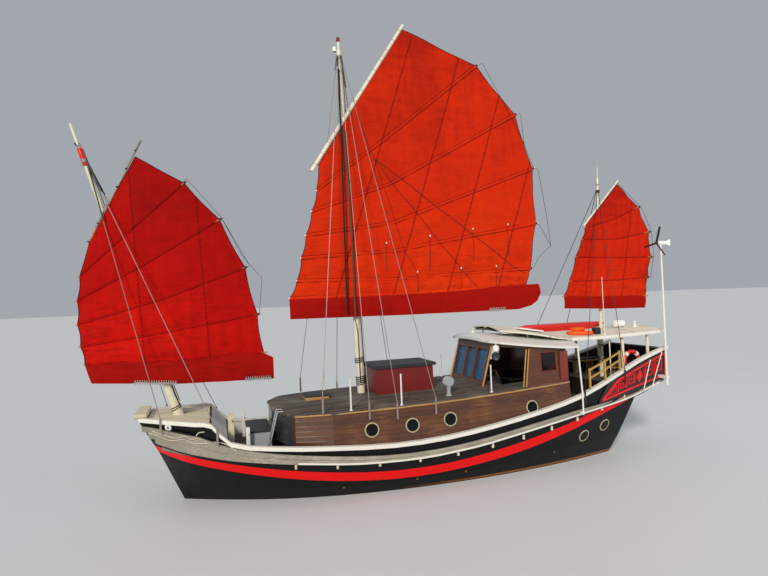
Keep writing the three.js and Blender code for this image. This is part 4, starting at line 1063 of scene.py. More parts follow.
@dataclass
class Studio:
    """Camera, plain pale floor at the waterline, and soft light."""

    eye: Point = (-5.04, -15.18, 4.76)
    yaw: float = 16.5
    roll: float = 2.3
    focus: float = 577.0
    lift: float = 9.0
    picture_width: float = 768.0
    sensor: float = 36.0
    sight: float = 2000.0
    sky: tuple[Colour, float] = ((0.80, 0.86, 0.93), 0.45)
    sun: tuple[Colour, float] = ((1.0, 0.93, 0.82), 2.5)
    sun_from: Point = (-9.0, -15.0, 12.5)
    sun_spread: float = 9.0
    fill: tuple[Colour, float] = ((0.92, 0.96, 1.0), 900)
    fill_from: Point = (20, -18, 14)
    fill_size: float = 16.0
    aimed_at: Point = (0, 0, 3)
    floor_size: float = 900.0
    floor_tones: tuple[str, str] = ("d9dde0", "dfe2e4")

    def camera(self) -> None:
        """Stands the camera where the picture was taken from."""
        turn, tip, lean = math.radians(self.yaw), math.atan2(self.lift, self.focus), math.radians(self.roll)
        right = Vector((math.cos(turn), -math.sin(turn), 0))
        level = Vector((math.sin(turn), math.cos(turn), 0))
        ahead = level * math.cos(tip) + UP * math.sin(tip)
        above = UP * math.cos(tip) - level * math.sin(tip)
        across = right * math.cos(lean) - above * math.sin(lean)
        up = right * math.sin(lean) + above * math.cos(lean)
        data = bpy.data.cameras.new("camera")
        data.sensor_width = self.sensor
        data.sensor_fit = "HORIZONTAL"
        data.lens = self.focus / self.picture_width * self.sensor
        data.clip_end = self.sight
        camera = bpy.data.objects.new("camera", data)
        bpy.context.scene.collection.objects.link(camera)
        turned = Matrix((across, up, -ahead)).transposed().to_4x4()
        camera.matrix_world = Matrix.Translation(self.eye) @ turned
        bpy.context.scene.camera = camera

    def light(self, name: str, kind: str, power: tuple[Colour, float], place: Point) -> bpy.types.Light:
        """Hangs a light that is aimed at the boat.

        Args:
            name: Its name.
            kind: Blender's type of light.
            power: Its colour and energy.
            place: Where it hangs.

        Returns:
            The light's data.
        """
        lamp = bpy.data.objects.new(name, bpy.data.lights.new(name, kind))
        lamp.data.color, lamp.data.energy = power
        aim = (Vector(self.aimed_at) - Vector(place)).to_track_quat("-Z", "Y")
        lamp.matrix_world = Matrix.Translation(place) @ aim.to_matrix().to_4x4()
        bpy.context.scene.collection.objects.link(lamp)
        return lamp.data

    def lights(self) -> None:
        """Hangs a large key light, a fill and a pale sky."""
        world = bpy.data.worlds.new("pale sky")
        bpy.context.scene.world = world
        world.use_nodes = True
        back = world.node_tree.nodes["Background"]
        back.inputs["Color"].default_value = (*self.sky[0], 1)
        back.inputs["Strength"].default_value = self.sky[1]
        self.light("key", "SUN", self.sun, self.sun_from).angle = math.radians(self.sun_spread)
        self.light("fill", "AREA", self.fill, self.fill_from).size = self.fill_size

    def floor(self) -> None:
        """Lays the floor at the waterline."""
        bpy.ops.object.select_all(action="DESELECT")
        bpy.ops.mesh.primitive_plane_add(size=self.floor_size, location=(0, 0, 0))
        floor = bpy.context.object
        floor.name = "floor"
        recipe = Recipe("pale floor")
        pale = recipe.mix(*map(shade, self.floor_tones), recipe.noise(0.4, 3))
        floor.data.materials.append(recipe.finish(Base_Color=pale, Roughness=0.55))

    def build(self) -> None:
        """Sets up the whole studio."""
        self.camera()
        self.lights()
        self.floor()
        bpy.context.scene.view_settings.view_transform = "Standard"


@dataclass(frozen=True)
class Mast:
    """A raked mast."""

    foot: Point
    head: Point
    radius: tuple[float, float]

    def share(self, z: float) -> float:
        """Gives how far up the mast a height is."""
        return (z - self.foot[2]) / (self.head[2] - self.foot[2])

    def at(self, z: float) -> Vector:
        """Gives the middle of the mast at a height."""
        return Vector(self.foot).lerp(Vector(self.head), self.share(z))

    def girth(self, z: float) -> float:
        """Gives the mast's radius at a height."""
        return self.radius[0] + (self.radius[1] - self.radius[0]) * self.share(z)

    def axis(self) -> Vector:
        """Gives the way that the mast points."""
        return (Vector(self.head) - Vector(self.foot)).normalized()


FORE_MAST = Mast((-5.96, 0, 2.09), (-8.17, 0, 9.19), (0.118, 0.032))
MAIN_MAST = Mast((-1.265, 0, 1.206), (-1.56, 0, 11.48), (0.112, 0.062))
MIZZEN_MAST = Mast((6.33, 0, 2.06), (6.485, 0, 8.18), (0.062, 0.034))


class Tips(Enum):
    """How a batten's end shows past the leech."""

    WHITE = "white fitting"
    TIMBER = "light timber"


@dataclass
class JunkSail:
    """A battened lug sail: cloth between spars, pockets, ropes, ties and its skirt.

    Each row is a spar line as points (x, z) from leech to luff, from the yard down.
    """

    name: str
    body: Body
    plane: float
    rows: tuple[Row, ...]
    skirt: tuple[Row, Row]
    yard: tuple[tuple[float, float], tuple[float, float]]
    yard_radius: float
    mast: Mast
    belly: float = 0.10
    pillow: float = 0.045
    pocket: float = 0.016
    tips: Tips = Tips.TIMBER
    combs: tuple[tuple[float, float], ...] = ()
    leech: tuple[Row, ...] = ()
    falls: tuple[Row, ...] = ()
    cloth_thickness: float = 0.003
    bolt_rope: float = 0.010
    lacing_gap: float = 0.34
    comb_gap: float = 0.052
    block: Row = ((0.016, 0), (0.034, 0.008), (0.034, 0.028), (0.016, 0.036))
    laid: bpy.types.Object | None = None

    @staticmethod
    def along(row: Row, u: float) -> tuple[float, float]:
        """Walks a spar line from luff (0) to leech (1).

        Args:
            row: The spar line.
            u: From luff to leech.

        Returns:
            The point (x, z).
        """
        points = [Vector(p) for p in reversed(row)]
        lengths = [(b - a).length for a, b in zip(points, points[1:])]
        left = u * sum(lengths)
        for a, b, length in zip(points, points[1:], lengths):
            if left <= length + 1e-6:
                break
            left -= length
        spot = a.lerp(b, min(1.0, left / length))
        return spot.x, spot.y

    def depth(self, u: float, panel: int, part: float) -> float:
        """Gives how far the cloth stands off its plane, to port.

        Args:
            u: From luff to leech.
            panel: Which panel it is in.
            part: From its upper to its lower spar.

        Returns:
            The distance in metres.
        """
        swell = math.sin(math.pi * part)
        bag = self.belly * math.sin(math.pi * min(1, u * 1.02)) ** 0.8 * (1.0 if panel else part ** 0.7)
        full = self.pillow * swell * (0.35 + 0.65 * math.sin(math.pi * u))
        wave = 5.0 + 1.7 * panel
        fold = math.sin(u * wave * 6.1 + panel * 2.3) * swell ** 0.6
        fine = math.sin(u * 57 + panel * 1.3 + part * 4.1) * math.sin(u * 23 - part * 7.7)
        reach = max(0.0, u - 0.55) / 0.45
        pull = 0.02 * reach * math.sin(part * 9.0 + (1 - u) * 16.0 + panel * 1.9) * swell
        edge = math.exp(-((1 - u) / 0.08)) * math.sin(part * math.pi * 2 + panel) * 0.012
        gather = 0.0
        if not panel:
            gather = math.sin(u * 71 + 1.6 * math.sin(u * 29)) * math.exp(-part / 0.28) * min(1, part / 0.04)
        return bag + full + 0.008 * fold + 0.0035 * fine * swell + edge + pull + 0.02 * gather

    def point(self, u: float, v: float) -> Point:
        """Places the cloth for u from luff to leech and v from head to foot.

        Args:
            u: From luff to leech.
            v: From head to foot.

        Returns:
            The point.
        """
        panels = len(self.rows) - 1
        spot = min(v * panels, panels - 1e-9)
        panel = int(spot)
        part = spot - panel
        head, foot = self.along(self.rows[panel], u), self.along(self.rows[panel + 1], u)
        x = head[0] + (foot[0] - head[0]) * part
        z = head[1] + (foot[1] - head[1]) * part
        hollow = 0.035 * math.sin(math.pi * part)
        x += hollow * (math.exp(-u / 0.06) - math.exp(-(1 - u) / 0.06)) * (0.4 if panel == 0 else 1)
        return x, self.plane - self.depth(u, panel, part), z

    def done(
        self, shop: Workshop, piece: bpy.types.Object | Sequence[bpy.types.Object], what: str, finish: str,
        angle: float = 35.0
    ) -> bpy.types.Object:
        """Finishes a piece of this sail.

        Args:
            shop: The workshop.
            piece: The piece, or pieces that become one.
            what: Its name without the sail's.
            finish: Its finish.
            angle: Edges sharper than this stay crisp, in degrees.

        Returns:
            The finished piece.
        """
        return shop.done(piece, f"{self.name}_{what}", finish, self.body, angle)

    def sheet(self, shop: Workshop) -> None:
        """Lays the cloth between the spars.

        Args:
            shop: The workshop.
        """
        wide = max(math.dist(row[0], row[-1]) for row in self.rows)
        tall = math.dist(self.rows[0][-1], self.rows[-1][-1]) + 0.6
        cells = (96, 20 * (len(self.rows) - 1))
        sheet = shop.surface(*cells, lambda u, v: self.point(u, 1 - v), (wide, tall * 1.3))
        shop.thicken(sheet, self.cloth_thickness)
        self.laid = self.done(shop, sheet, "sail_cloth", f"{self.name} sailcloth", 60)
        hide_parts(f"{self.name}_sail")

    def front(self, x: float, z: float, gap: float) -> Point:
        """Finds the point a little to port of the cloth at a length and height."""
        hit, spot, _, _ = self.laid.ray_cast(Vector((x, -4, z)), Vector((0, 1, 0)))
        return x, (spot.y if hit else self.plane - 0.05) - gap, z

    def hem(self, u: float, v: float) -> Point:
        """Places the skirt's cloth for u from luff to leech and v from foot to head.

        Args:
            u: From luff to leech.
            v: From foot to head.

        Returns:
            The point.
        """
        upper, lower = self.skirt
        head, foot = self.along(upper, u), self.along(lower, u)
        sway = 0.02 * math.sin(u * 19) * (1 - v) + 0.012 * math.sin(u * 47) * (1 - v)
        y = self.plane - self.depth(u, 9, 0) - 0.006 - sway - 0.03 * math.sin(math.pi * v)
        return foot[0] + (head[0] - foot[0]) * v, y, foot[1] + (head[1] - foot[1]) * v

    def apron(self, shop: Workshop) -> None:
        """Hangs the darker skirt under the lowest spar, with its chafe combs.

        Args:
            shop: The workshop.
        """
        upper, lower = self.skirt
        wide, tall = math.dist(upper[0], upper[-1]), math.dist(upper[0], lower[0])
        apron = shop.surface(120, 10, self.hem, (wide, tall))
        shop.thicken(apron, 0.004)
        self.done(shop, apron, "sail_skirt", "skirt cloth", 60)
        teeth = []
        for low, high in self.combs:
            bar = [self.hem(low + (high - low) * k / 8, 0.03) for k in range(9)]
            teeth.append(shop.line([(x, y - 0.012, z) for x, y, z in bar], 0.013, sides=1))
            count = int(abs(self.hem(high, 0)[0] - self.hem(low, 0)[0]) / self.comb_gap)
            for k in range(count):
                x, y, z = self.hem(low + (high - low) * (k + 0.5) / count, 0.02)
                teeth.append(shop.rod((x, y - 0.014, z - 0.045), (x, y - 0.02, z + 0.075), 0.012, 8))
        if teeth:
            self.done(shop, teeth, "chafe_combs", "galvanised")

    def over(self, index: int, u: float, v: float) -> Point:
        """Places the skin of a batten's pocket.

        Args:
            index: Which spar it is, from the yard down.
            u: From luff to leech.
            v: Across the pocket.

        Returns:
            The point.
        """
        at = index / (len(self.rows) - 1)
        x, y, z = self.point(u, at)
        x2, _, z2 = self.point(min(1.0, u + 0.01), at)
        run = Vector((x2 - x, 0, z2 - z)) if u < 0.99 else Vector((1, 0, 0.2))
        shift = Vector((-run.z, 0, run.x)).normalized() * (v - 0.5) * 2 * self.pocket
        return x + shift.x, y - 0.001 - math.sin(math.pi * v) ** 0.5 * 0.022, z + shift.z

    def pockets(self, shop: Workshop) -> None:
        """Sews a pocket of the same cloth over each batten, with dark seams, and lets the ends show.

        Args:
            shop: The workshop.
        """
        strips, seams, ends, blocks = [], [], [], []
        panels = len(self.rows) - 1
        for index in range(1, panels + 1):
            strips.append(shop.surface(90, 6, partial(self.over, index), (6.0, 0.1)))
            for edge in (0.0, 1.0):
                run = [self.over(index, k / 80, edge) for k in range(81)]
                seams.append(shop.line([(x, y - 0.004, z) for x, y, z in run], 0.0065, sides=1))
            for u, inner in ((0.0, 0.06), (1.0, 0.94)):
                x, y, z = self.point(u, index / panels)
                xi, _, zi = self.point(inner, index / panels)
                run = (Vector((x, 0, z)) - Vector((xi, 0, zi))).normalized()
                start = Vector((x, y - 0.006, z)) - run * 0.25
                ends.append(shop.rod(start, start + run * (0.29 + 0.06 * u), 0.017, 10))
                if u and index < panels:
                    hub = start + run * 0.27 - Vector((0, 0.03, 0))
                    blocks.append(shop.turned(self.block, hub, (0, 1, 0), 14))
        for strip in strips:
            shop.thicken(strip, 0.002)
        self.done(shop, strips, "batten_pockets", f"{self.name} sailcloth", 60)
        self.done(shop, seams, "pocket_seams", "pocket cloth", 60)
        self.done(shop, ends, "batten_ends", self.tips.value)
        self.done(shop, blocks, "leech_blocks", "dark plastic")

    def edges(self, shop: Workshop) -> None:
        """Sews bolt ropes along luff, leech and head.

        Args:
            shop: The workshop.
        """
        steps = [i / 60 for i in range(61)]
        runs = ([(0.0, t) for t in steps], [(1.0, t) for t in steps], [(t, 0.0) for t in steps])
        ropes = [shop.line([self.point(u, v) for u, v in run], self.bolt_rope) for run in runs]
        self.done(shop, ropes, "bolt_ropes", "pocket cloth", 60)

    def lacing(self, shop: Workshop) -> None:
        """Laces the head to its yard.

        Args:
            shop: The workshop.
        """
        foot, head = Vector(self.yard[0]), Vector(self.yard[1])
        run = head - foot
        count = max(6, int(run.length / self.lacing_gap))
        across = Vector((-run.y, 0, run.x)) / run.length
        loops = []
        for i in range(count):
            mid = foot.lerp(head, (i + 0.6) / (count + 0.2))
            radius = self.yard_radius * (1 - 0.2 * (i / count)) + 0.008
            loops.append(shop.ring((mid.x, self.plane, mid.y), across * radius, Vector((0, radius, 0)), 14, 0.005))
        self.done(shop, loops, "yard_lacing", "white rope")

    def parrel(self, shop: Workshop, row: Row) -> bpy.types.Object:
        """Ties a batten to the mast with a rope that is wider on the sail's side.

        Args:
            shop: The workshop.
            row: The batten's spar line.

        Returns:
            The rope.
        """
        walk = [self.along(row, u / 50) for u in range(51)]
        z = next((spot[1] for spot in walk if spot[0] > self.mast.at(spot[1]).x), row[-1][1]) + 0.03
        mid, tilt, radius = self.mast.at(z), self.mast.axis(), self.mast.girth(z) + 0.03
        side = (Vector((1, 0, 0)) - tilt * tilt.x).normalized()
        reach = max(radius, abs(self.plane) - 0.02)
        spots = []
        for k in range(22):
            a = math.tau * k / 22
            y = math.sin(a) * (radius if math.sin(a) > 0 else reach)
            spots.append(mid + side * math.cos(a) * radius + Vector((0, y, 0)) + tilt * 0.05 * math.cos(a))
        return shop.line(spots, 0.012, closed=True, sides=1)

    def ropes(self, shop: Workshop) -> None:
        """Runs the control lines down the leech and the falls in front of the cloth.

        Args:
            shop: The workshop.
        """
        lines = [shop.line([(x, self.plane - 0.03, z) for x, z in route], 0.006, sides=1) for route in self.leech]
        self.done(shop, lines, "leech_lines", "dark rope")
        falls, eyes = [], []
        for route in self.falls:
            spots = []
            for (x0, z0), (x1, z1) in zip(route, route[1:]):
                steps = max(1, int(math.dist((x0, z0), (x1, z1)) / 0.16))
                spots += [self.front(x0 + (x1 - x0) * k / steps, z0 + (z1 - z0) * k / steps, 0.02)
                          for k in range(steps + (route[-1] == (x1, z1)))]
            falls.append(shop.line(spots, 0.0055, sides=1))
            if len(route) == 2:
                x, y, z = spots[0]
                eyes.append(shop.block((x - 0.014, y - 0.014, z - 0.02), (x + 0.014, y + 0.01, z + 0.03), 0.004))
        if falls:
            self.done(shop, falls, "falls", "dark rope")
            self.done(shop, eyes, "fall_eyes", "white fitting")

    def build(self, shop: Workshop) -> None:
        """Builds the whole sail.

        Args:
            shop: The workshop.
        """
        self.sheet(shop)
        self.apron(shop)
        self.pockets(shop)
        self.edges(shop)
        self.lacing(shop)
        self.done(shop, [self.parrel(shop, row) for row in self.rows[1:]], "parrels", "dark rope")
        self.ropes(shop)


@dataclass
class Portholes:
    """Round lights with brass-bolted rings in the cabin side and the quarter; their opaque dark panes are painted shade
    of the cabin behind.
    """

    places: tuple[tuple[str, float, float], ...] = (
        ("trunk_cabin", -1.53, 1.61), ("trunk_cabin", -0.52, 1.63), ("trunk_cabin", 0.47, 1.68),
        ("trunk_cabin", 2.80, 1.75), ("hull", 4.60, 0.73), ("hull", 5.35, 0.93),
    )
    ring: Row = ((0.178, 0), (0.178, 0.032), (0.173, 0.038), (0.154, 0.039), (0.148, 0.035))
    pane: Row = ((0.147, 0.02), (0.147, 0.0365), (0.108, 0.0375))
    bolt: Row = ((0.008, 0), (0.008, 0.006), (0.005, 0.009))
    bolts: int = 8
    bolt_at: tuple[float, float] = (0.163, 0.036)
    sunk: float = 0.022

    def build(self, shop: Workshop) -> None:
        """Builds rings, bolts and glass on both sides.

        Args:
            shop: The workshop.
        """
        for side in Side:
            rings, panes, bolts = [], [], []
            for node, x, z in self.places:
                spot, normal = shop.flank(node, side, x, z)
                foot = spot - normal * self.sunk
                rings.append(shop.turned(self.ring, foot, normal, 40))
                panes.append(shop.turned(self.pane, foot, normal, 36))
                turn = UP.rotation_difference(normal)
                for k in range(self.bolts):
                    a = math.tau * (k + 0.5) / self.bolts
                    out, high = self.bolt_at
                    off = turn @ Vector((math.cos(a) * out, math.sin(a) * out, high))
                    bolts.append(shop.turned(self.bolt, foot + off, normal, 8))
            shop.done(rings, f"porthole_rings_{side.tag}", "ring paint")
            # The opaque dark panes are painted shade of the cabin behind them.
            shop.done(panes, f"porthole_glass_{side.tag}", "dark glass")
            shop.done(bolts, f"porthole_bolts_{side.tag}", "bronze")


@dataclass
class BowGear:
    """Painted eyes, rope on the wale, anchor and a post at each side of the foredeck."""

    eye: tuple[float, float] = (-6.13, 1.965)
    eye_radius: float = 0.082
    eye_white: Row = ((1, 0), (1, 0.03), (0.8, 0.038), (0.3, 0.041))
    eye_dark: Row = ((0.34, 0), (0.34, 0.01), (0.2, 0.014))
    ropes: tuple[Row, ...] = (
        ((-6.49, 1.88), (-6.40, 1.84), (-6.155, 1.77), (-5.95, 1.73), (-5.75, 1.78), (-5.58, 1.70), (-5.47, 1.83),
         (-5.33, 1.86)),
        ((-6.60, 1.80), (-6.38, 1.76), (-6.2, 1.68), (-6.0, 1.66), (-5.8, 1.70), (-5.6, 1.62), (-5.31, 1.60),
         (-5.14, 1.61), (-4.85, 1.56), (-4.64, 1.40)),
    )
    rope: float = 0.014
    post: tuple[float, float] = (-4.36, 1.05)
    post_top: float = 1.80

    def eyes(self, shop: Workshop) -> None:
        """Sets an eye on each bow.

        Args:
            shop: The workshop.
        """
        for side in Side:
            spot, normal = shop.flank("hull", side, *self.eye)
            foot = spot - normal * 0.012
            look = foot + normal * 0.036 + Vector((0.006, 0, 0.012))
            for what, profile, at, finish, sides in (("eye", self.eye_white, foot, "white fitting", 32),
                                                     ("pupil", self.eye_dark, look, "dark trim", 24)):
                rings = [(share * self.eye_radius, high) for share, high in profile]
                shop.done(shop.turned(rings, at, normal, sides), f"{what}_{side.tag}", finish)

    def mooring_rope(self, shop: Workshop) -> None:
        """Drapes a thin weathered rope along the top of each bow wale.

        Args:
            shop: The workshop.
        """
        for side in Side:
            parts = []
            for route in self.ropes:
                spots = [shop.outer(("hull", f"wale_{side.tag}"), side, x, z) for x, z in route]
                parts.append(shop.line([spot + normal * self.rope for spot, normal in spots], self.rope, smooth=True))
            shop.done(parts, f"bow_rope_{side.tag}", "white rope", angle=60)

    def anchor(self, shop: Workshop) -> None:
        """Stows the anchor on the platform.

        Args:
            shop: The workshop.
        """
        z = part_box("foredeck_platform")[1].z - 0.005
        parts = [
            shop.rod((-5.98, 0.30, z + 0.035), (-5.38, 0.42, z - 0.02), 0.018),
            shop.rod((-5.99, 0.02, z + 0.03), (-5.99, 0.58, z + 0.03), 0.014),
        ]
        for way in (-1, 1):
            fluke = [(-5.98, 0.30 + way * 0.03, z + 0.015), (-5.62, 0.36 + way * 0.05, z + 0.01),
                     (-5.92, 0.30 + way * 0.20, z + 0.015)]
            parts.append(shop.panel(fluke, (0, 0, 0.014), 0.003))
        shop.done(parts, "anchor", "galvanised")

    def posts(self, shop: Workshop) -> None:
        """Stands a square post on each side of the foredeck.

        Args:
            shop: The workshop.
        """
        for side in Side:
            x, y = self.post[0], side.value * self.post[1]
            floor = shop.touch("hull", (x, y, 3.0), -UP)[0].z
            body = shop.block((x - 0.045, y - 0.045, floor - 0.01), (x + 0.045, y + 0.045, self.post_top), 0.012)
            pin = shop.rod((x, y - 0.11, 1.66), (x, y + 0.11, 1.66), 0.013)
            shop.done([body, pin], f"foredeck_post_{side.tag}", "roof paint")

    def build(self, shop: Workshop) -> None:
        """Builds all bow gear.

        Args:
            shop: The workshop.
        """
        self.eyes(shop)
        self.mooring_rope(shop)
        self.anchor(shop)
        self.posts(shop)


@dataclass
class CabinTrim:
    """Mouldings, stanchions, winch and hatch on the trunk cabin."""

    moulding_at: tuple[float, ...] = (-3.3, -3.2, -2.6, -1.9, -1.2, -0.5, 0.3, 1.1, 1.9, 2.7, 3.4, 4.02)
    stanchions: tuple[float, ...] = (-1.99, -0.74)
    third: tuple[float, float] = (1.72, 1.70)
    third_profile: Row = (
        (0.045, -0.004), (0.045, 0.01), (0.02, 0.016), (0.018, 0.68), (0.022, 0.69), (0.008, 0.70),
    )
    winch_at: tuple[float, float, float] = (0.62, -1.50, 2.55)
    drum: Row = ((0.12, 0), (0.13, 0.01), (0.075, 0.03), (0.06, 0.08), (0.075, 0.13), (0.13, 0.15), (0.12, 0.16))
    turns: int = 6
    hatch: tuple[float, float, float] = (-2.55, 0.30, 0.34)

    def moulding(self, shop: Workshop) -> None:
        """Runs a light rubbing strip along each roof edge.

        Args:
            shop: The workshop.
        """
        for side in Side:
            rims = [(x, shop.rim("cabin_roof", side, x)) for x in self.moulding_at]
            strip = shop.line([(x, rim.y, rim.z - 0.034) for x, rim in rims], 0.021, sides=3)
            shop.done(strip, f"roof_moulding_{side.tag}", "light timber")

    def sleeve(self, shop: Workshop, side: Side, x: float) -> bpy.types.Object:
        """Slips a white sleeve over one of the roof's own stanchions.

        Args:
            shop: The workshop.
            side: Which side.
            x: The stanchion's length.

        Returns:
            The sleeve.
        """
        mesh = shop.frame["nodes"]["cabin_roof"].data
        near = [v.co for v in mesh.vertices if v.co.z > 2.5 and abs(v.co.x - x) < 0.1 and v.co.y * side.value > 0]
        mid = sum(near, Vector()) / len(near)
        top = max(spot.z for spot in near)
        foot = shop.top("cabin_roof", mid.x + 0.07, mid.y)
        profile = ((0.045, foot - 0.004), (0.045, foot + 0.01), (0.022, foot + 0.016), (0.0195, foot + 0.03),
                   (0.0195, top - 0.02), (0.023, top - 0.01), (0.023, top + 0.006), (0.008, top + 0.012))
        return shop.turned(profile, (mid.x, mid.y, 0), sides=18)

    def stand(self, shop: Workshop) -> None:
        """Stands the white stanchions on the roof edge.

        Args:
            shop: The workshop.
        """
        for side in Side:
            parts = [self.sleeve(shop, side, x) for x in self.stanchions]
            x, y = self.third[0], side.value * self.third[1]
            parts.append(shop.turned(self.third_profile, (x, y, shop.top("cabin_roof", x, y)), sides=18))
            shop.done(parts, f"roof_stanchions_{side.tag}", "white fitting")

    def winch(self, shop: Workshop) -> None:
        """Sets a halyard winch with its turns of rope on a pedestal at the port edge.

        Args:
            shop: The workshop.
        """
        x, y, mid = self.winch_at
        z = shop.top("cabin_roof", x, y)
        high = mid - z - 0.1
        profile = ((0.085, -0.004), (0.085, 0.012), (0.06, 0.03), (0.05, high * 0.5), (0.06, high), (0.05, high + 0.04))
        shop.done(shop.turned(profile, (x, y, z), sides=20), "winch_post", "grey paint")
        shop.done(shop.turned(self.drum, (x, y - 0.08, mid), (0, 1, 0), 28), "winch_drum", "grey paint")
        turns = []
        for k in range(self.turns):
            r, at = 0.08 + 0.006 * (k % 2), y - 0.045 + 0.014 * k
            turns.append(shop.ring((x, at, mid), Vector((r, 0, 0)), UP * r, 20, 0.008, 2))
        shop.done(turns, "winch_rope", "white rope")

    def hatchway(self, shop: Workshop) -> None:
        """Frames a hatch on the fore part of the roof.

        Args:
            shop: The workshop.
        """
        x, long, wide = self.hatch
        z = shop.top("cabin_roof", x, 0)
        frame = shop.block((x - long, -wide, z - 0.04), (x + long, wide, z + 0.07), 0.012)
        shop.done(frame, "hatch_coaming", "light timber")
        long, wide = long + 0.03, wide + 0.03
        lid = shop.block((x - long, -wide, z + 0.07), (x + long, wide, z + 0.105), 0.012)
        shop.done(lid, "hatch_lid", "dark trim")

    def build(self, shop: Workshop) -> None:
        """Builds all cabin trim.

        Args:
            shop: The workshop.
        """
        self.moulding(shop)
        self.stand(shop)
        self.winch(shop)
        self.hatchway(shop)


@dataclass
class QuarterBoard:
    """Frame and traditional fret on the blank board of each quarter."""

    corners: Row = ((5.06, 1.68), (7.50, 2.165), (7.50, 2.80), (5.62, 2.18))
    frame_radius: float = 0.031
    frets: tuple[float, ...] = (5.80, 6.14, 6.87, 7.24)
    spiral: Row = ((-1, -1), (-1, 1), (1, 1), (1, -0.6), (-0.4, -0.6), (-0.4, 0.35), (0.35, 0.35), (0.35, 0.0))
    lean: float = 0.27
    diamond: float = 6.505
    tip: Row = ((5.30, 1.80), (5.58, 2.04), (5.58, 1.86), (5.40, 1.82))

    def on(self, shop: Workshop, side: Side, spots: Sequence[tuple[float, float]], out: float) -> list[Point]:
        """Finds points of the board's face.

        Args:
            shop: The workshop.
            side: Which side.
            spots: Their lengths and heights.
            out: How far they stand off the face.

        Returns:
            The points.
        """
        found = [shop.flank(f"name_board_{side.tag}", side, x, z) for x, z in spots]
        return [spot + normal * out for spot, normal in found]

    def band(self, x: float) -> tuple[float, float]:
        """Gives the middle and half the height of the board's field at a length."""
        low, high = 1.67 + (x - 5.04) * 0.1951, 2.20 + (x - 5.62) * 0.3298
        return (low + high) / 2, (high - low) / 2

    def fret(self, x: float) -> list[tuple[float, float]]:
        """Draws one square spiral of the fret at a length, leaning with the sheer.

        Args:
            x: Its middle.

        Returns:
            The stroke as points (x, z).
        """
        mid, half = self.band(x)
        wide, tall = 0.135, half * 0.62
        return [(x + a * wide, mid + b * tall + a * wide * self.lean) for a, b in self.spiral]

    def build(self, shop: Workshop) -> None:
        """Builds both boards' ornament.

        Args:
            shop: The workshop.
        """
        for side in Side:
            strips = []
            for (x0, z0), (x1, z1) in zip(self.corners, (*self.corners[1:], self.corners[0])):
                run = [(x0 + (x1 - x0) * t / 12, z0 + (z1 - z0) * t / 12) for t in range(13)]
                strips.append(shop.line(self.on(shop, side, run, 0.006), self.frame_radius))
            shop.done(strips, f"board_frame_{side.tag}", "red trim")
            marks = [shop.line(self.on(shop, side, self.fret(x), 0.004), 0.023, sides=1) for x in self.frets]
            x = self.diamond
            mid, half = self.band(x)
            spots = [(x - 0.13, mid - 0.03), (x, mid + half * 0.72), (x + 0.13, mid + 0.03), (x, mid - half * 0.72)]
            marks.append(shop.panel(self.on(shop, side, spots, -0.004), (0, side.value * 0.022, 0), 0.004))
            for way in (-1, 1):
                px, pz = x + way * 0.185, mid + way * 0.05
                bar = self.on(shop, side, [(px, pz + half * 0.5), (px, pz - half * 0.5)], 0.004)
                marks.append(shop.line(bar, 0.014, sides=1))
            marks.append(shop.line(self.on(shop, side, self.tip, 0.004), 0.016, sides=1))
            shop.done(marks, f"board_fret_{side.tag}", "red trim")


@dataclass
class WaleGear:
    """Brackets and a batten under the wale and small skin fittings."""

    brackets: tuple[float, ...] = (-3.35, -2.4, -1.4, -0.4, 0.59, 1.56, 2.47, 3.35, 4.2, 5.08, 5.95)
    bracket_line: Point = (0.825, 0.0314, 0.0185)
    batten_line: Point = (0.55, 0.0314, 0.0208)
    batten_ends: tuple[float, float] = (-3.3, 7.3)
    fittings: Row = ((-2.2, 0.24), (-0.4, 0.28), (0.9, 0.3), (3.6, 0.42))
    fitting: Row = ((0.03, 0), (0.03, 0.012), (0.02, 0.018), (0.012, 0.014))

    @staticmethod
    def curve(line: Point, x: float) -> float:
        """Gives the height of a line that follows the sheer, at a length."""
        return line[0] + line[1] * x + line[2] * x * x

    def batten(self, shop: Workshop, side: Side) -> bpy.types.Object:
        """Nails a light batten along the lower edge of the wale.

        Args:
            shop: The workshop.
            side: Which side.

        Returns:
            The batten.
        """
        points = []
        start, end = self.batten_ends
        for k in range(23):
            x = start + (end - start) * k / 22
            for step in range(90):
                z = self.curve(self.batten_line, x) + 0.01 * step
                found = shop.beside(f"wale_{side.tag}", side, x, z)
                if found and abs(found[1].y) > 0.5:
                    points.append((x, found[0].y + side.value * 0.004, z + 0.018))
                    break
        return shop.line(points, 0.024)

    def build(self, shop: Workshop) -> None:
        """Builds the brackets and skin fittings on both sides.

        Args:
            shop: The workshop.
        """
        for side in Side:
            parts, discs = [], []
            for x in self.brackets:
                z = self.curve(self.bracket_line, x)
                spot, normal = shop.flank("hull", side, x, z)
                out = spot.y + normal.y * 0.045 + side.value * 0.005
                parts.append(shop.block((x - 0.025, spot.y - side.value * 0.005, z - 0.05), (x + 0.025, out, z + 0.07)))
            for x, z in self.fittings:
                spot, normal = shop.flank("hull", side, x, z)
                discs.append(shop.turned(self.fitting, spot - normal * 0.004, normal, 16))
            shop.done(self.batten(shop, side), f"wale_batten_{side.tag}", "rail white")
            shop.done(parts, f"wale_brackets_{side.tag}", "cream paint")
            shop.done(discs, f"skin_fittings_{side.tag}", "bronze")


